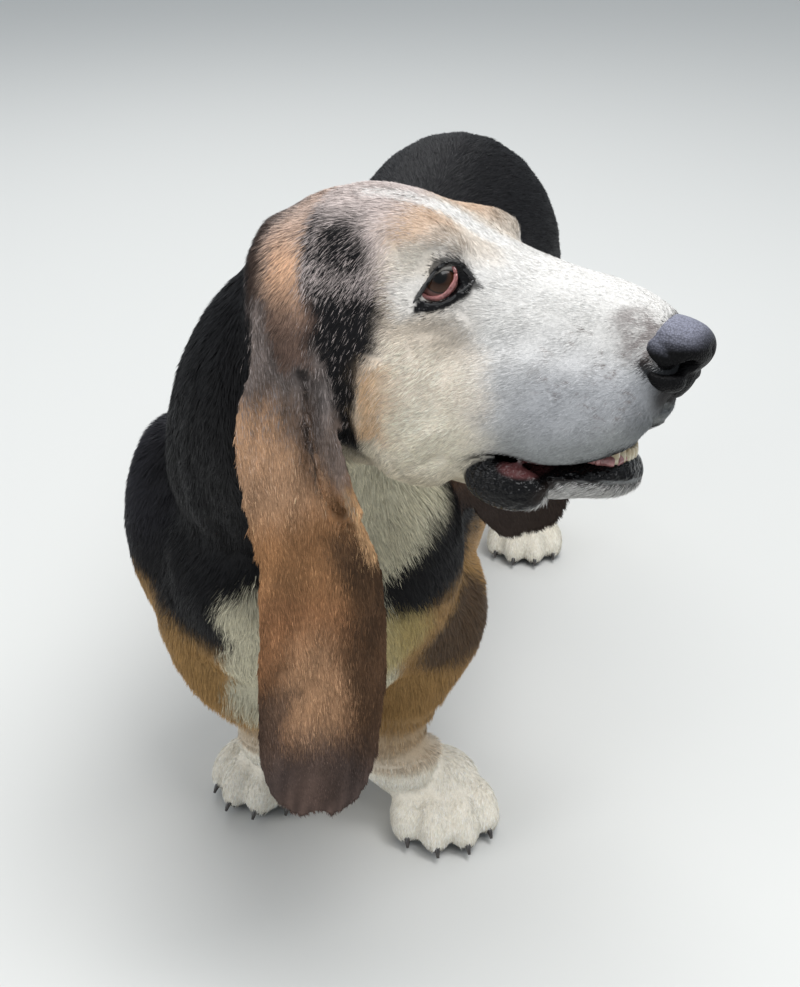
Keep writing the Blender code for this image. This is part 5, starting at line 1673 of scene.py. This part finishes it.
def stage():
    """A plain pale floor, soft light from above and a camera where the photograph was taken from."""
    scene = bpy.context.scene
    work = bmesh.new()
    bmesh.ops.create_grid(work, x_segments=8, y_segments=8, size=12)
    floor_mesh = bpy.data.meshes.new("floor")
    work.to_mesh(floor_mesh)
    work.free()
    material, tree, shader = node_material("floor")
    shader.inputs["Base Color"].default_value = (0.62, 0.62, 0.60, 1)
    shader.inputs["Roughness"].default_value = 0.9
    floor_mesh.materials.append(material)
    new_object("floor", floor_mesh)
    world = bpy.data.worlds.new("studio")
    world.use_nodes = True
    world.node_tree.nodes["Background"].inputs["Color"].default_value = (0.86, 0.93, 1.0, 1)
    world.node_tree.nodes["Background"].inputs["Strength"].default_value = 0.55
    scene.world = world
    aim = Vector((0.0, -0.05, 0.25))
    for name, place, size, power in (
        ("key", (0.6, -0.6, 2.4), 1.6, 58),
        ("rear", (-0.8, 1.4, 1.8), 1.2, 16),
        ("fill", (-1.8, -1.6, 1.2), 1.5, 13),
    ):
        light = bpy.data.lights.new(name, "AREA")
        light.size = size
        light.energy = power
        lamp = bpy.data.objects.new(name, light)
        lamp.location = place
        lamp.rotation_mode = "QUATERNION"
        lamp.rotation_quaternion = (aim - Vector(place)).to_track_quat("-Z", "Y")
        scene.collection.objects.link(lamp)
    camera = bpy.data.cameras.new("camera")
    camera.lens = CAMERA_LENS
    camera.sensor_width = 36
    camera.clip_start = 0.02
    eye = bpy.data.objects.new("camera", camera)
    ahead = Vector((-math.sin(CAMERA_TURN) * math.cos(CAMERA_DIP), math.cos(CAMERA_TURN) * math.cos(CAMERA_DIP), -math.sin(CAMERA_DIP)))
    across = Vector((math.cos(CAMERA_TURN), math.sin(CAMERA_TURN), 0))
    eye.location = CAMERA_AT + SHIFT
    eye.rotation_mode = "QUATERNION"
    eye.rotation_quaternion = Matrix((across, across.cross(ahead), -ahead)).transposed().to_quaternion()
    scene.collection.objects.link(eye)
    scene.camera = eye
    scene.view_settings.view_transform = "Standard"


CAMERA_TURN = math.radians(14.3)
CAMERA_DIP = math.radians(27)
CAMERA_LENS = 60.18
CAMERA_AT = Vector((
    0.005 + 0.055 * math.cos(CAMERA_TURN) + 0.984 * math.sin(CAMERA_TURN),
    0.055 * math.sin(CAMERA_TURN) - 0.984 * math.cos(CAMERA_TURN),
    0.746,
))

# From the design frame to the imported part's own.
low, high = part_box("eye_right")
SHIFT = (low + high) / 2 - head_matrix() @ Vector((EYE_CENTRE.x, -EYE_CENTRE.y, EYE_CENTRE.z))
SHIFT.z = 0.0


def coat_pieces(skin):
    """The whole coat, part by part: how many blades each has, how thick they are and how far they rise."""
    unwrap = skin_unwrap(skin)
    ears = skin.ears
    head = skin.on_head * (1 - ears)
    body = (1 - skin.on_head) * (1 - ears)
    y, z = skin.points[:, 1], skin.points[:, 2]
    low = step(0.125 - z, 0.02)
    fore = body * (1 - low) * step(0.06 - y, 0.02)
    rear = body * (1 - low) * (1 - step(0.06 - y, 0.02))
    neck = step(z - 0.262 - 0.3 * (y + 0.08), 0.02)
    muzzle = step(skin.folded[:, 0] - 0.004, 0.012)
    share, wider = ((1.0, 1.0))
    made = []
    for name, weight, count, thickness, rise in (
        ("coat_muzzle", head * muzzle, 160000, 0.00042, 0.13),
        ("coat_skull", head * (1 - muzzle), 195000, 0.00050, 0.13),
        ("coat_ears", ears, 170000, 0.00055, 0.10),
        ("coat_neck", fore * neck, 130000, 0.00085, 0.12),
        ("coat_chest", fore * (1 - neck), 150000, 0.00085, 0.12),
        ("coat_back", rear, 198000, 0.00100, 0.12),
        ("coat_limbs", body * low, 190000, 0.00065, 0.13),
    ):
        made.append(grow(skin, name, weight, int(count * share), thickness * wider, rise, unwrap))
    return made


def main():
    skin = Skin(head_refined(skin_shape()))
    sculpt(skin)
    coat_plan(skin)
    whole = finished_skin(skin)
    skin.triangles = root_sampling(skin)
    skin.neighbours = neighbours(skin.mesh)
    pieces = {"skin": whole}
    coats = coat_pieces(skin)
    nose = nose_piece()
    tongue = tongue_piece()
    others = [gum_piece(), teeth_piece(), *claw_pieces()]
    for side in (1, -1):
        others += [lid_rims(side), haw_piece(side)]
    eyes = {side: eye_piece(side) for side in (1, -1)}
    made = [whole, *coats, nose, tongue, *others, *eyes.values()]
    for piece in made:
        piece.data.transform(Matrix.Translation(SHIFT))
        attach(piece, "root")
    flesh = ["head", "lower_jaw", "ear_left", "ear_right", "neck", "torso", "tail"]
    for end in ("front", "hind"):
        for side in ("left", "right"):
            flesh += [f"leg_{end}_{side}", f"paw_{end}_{side}"]
    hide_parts(*flesh)
    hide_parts("nose")
    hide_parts("tongue")
    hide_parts("eye_left")
    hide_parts("eye_right")
    stage()
    triangles = {}
    for piece in made:
        piece.data.calc_loop_triangles()
        triangles[piece.name] = len(piece.data.loop_triangles)
    print("triangles", sum(triangles.values()), triangles)


main()
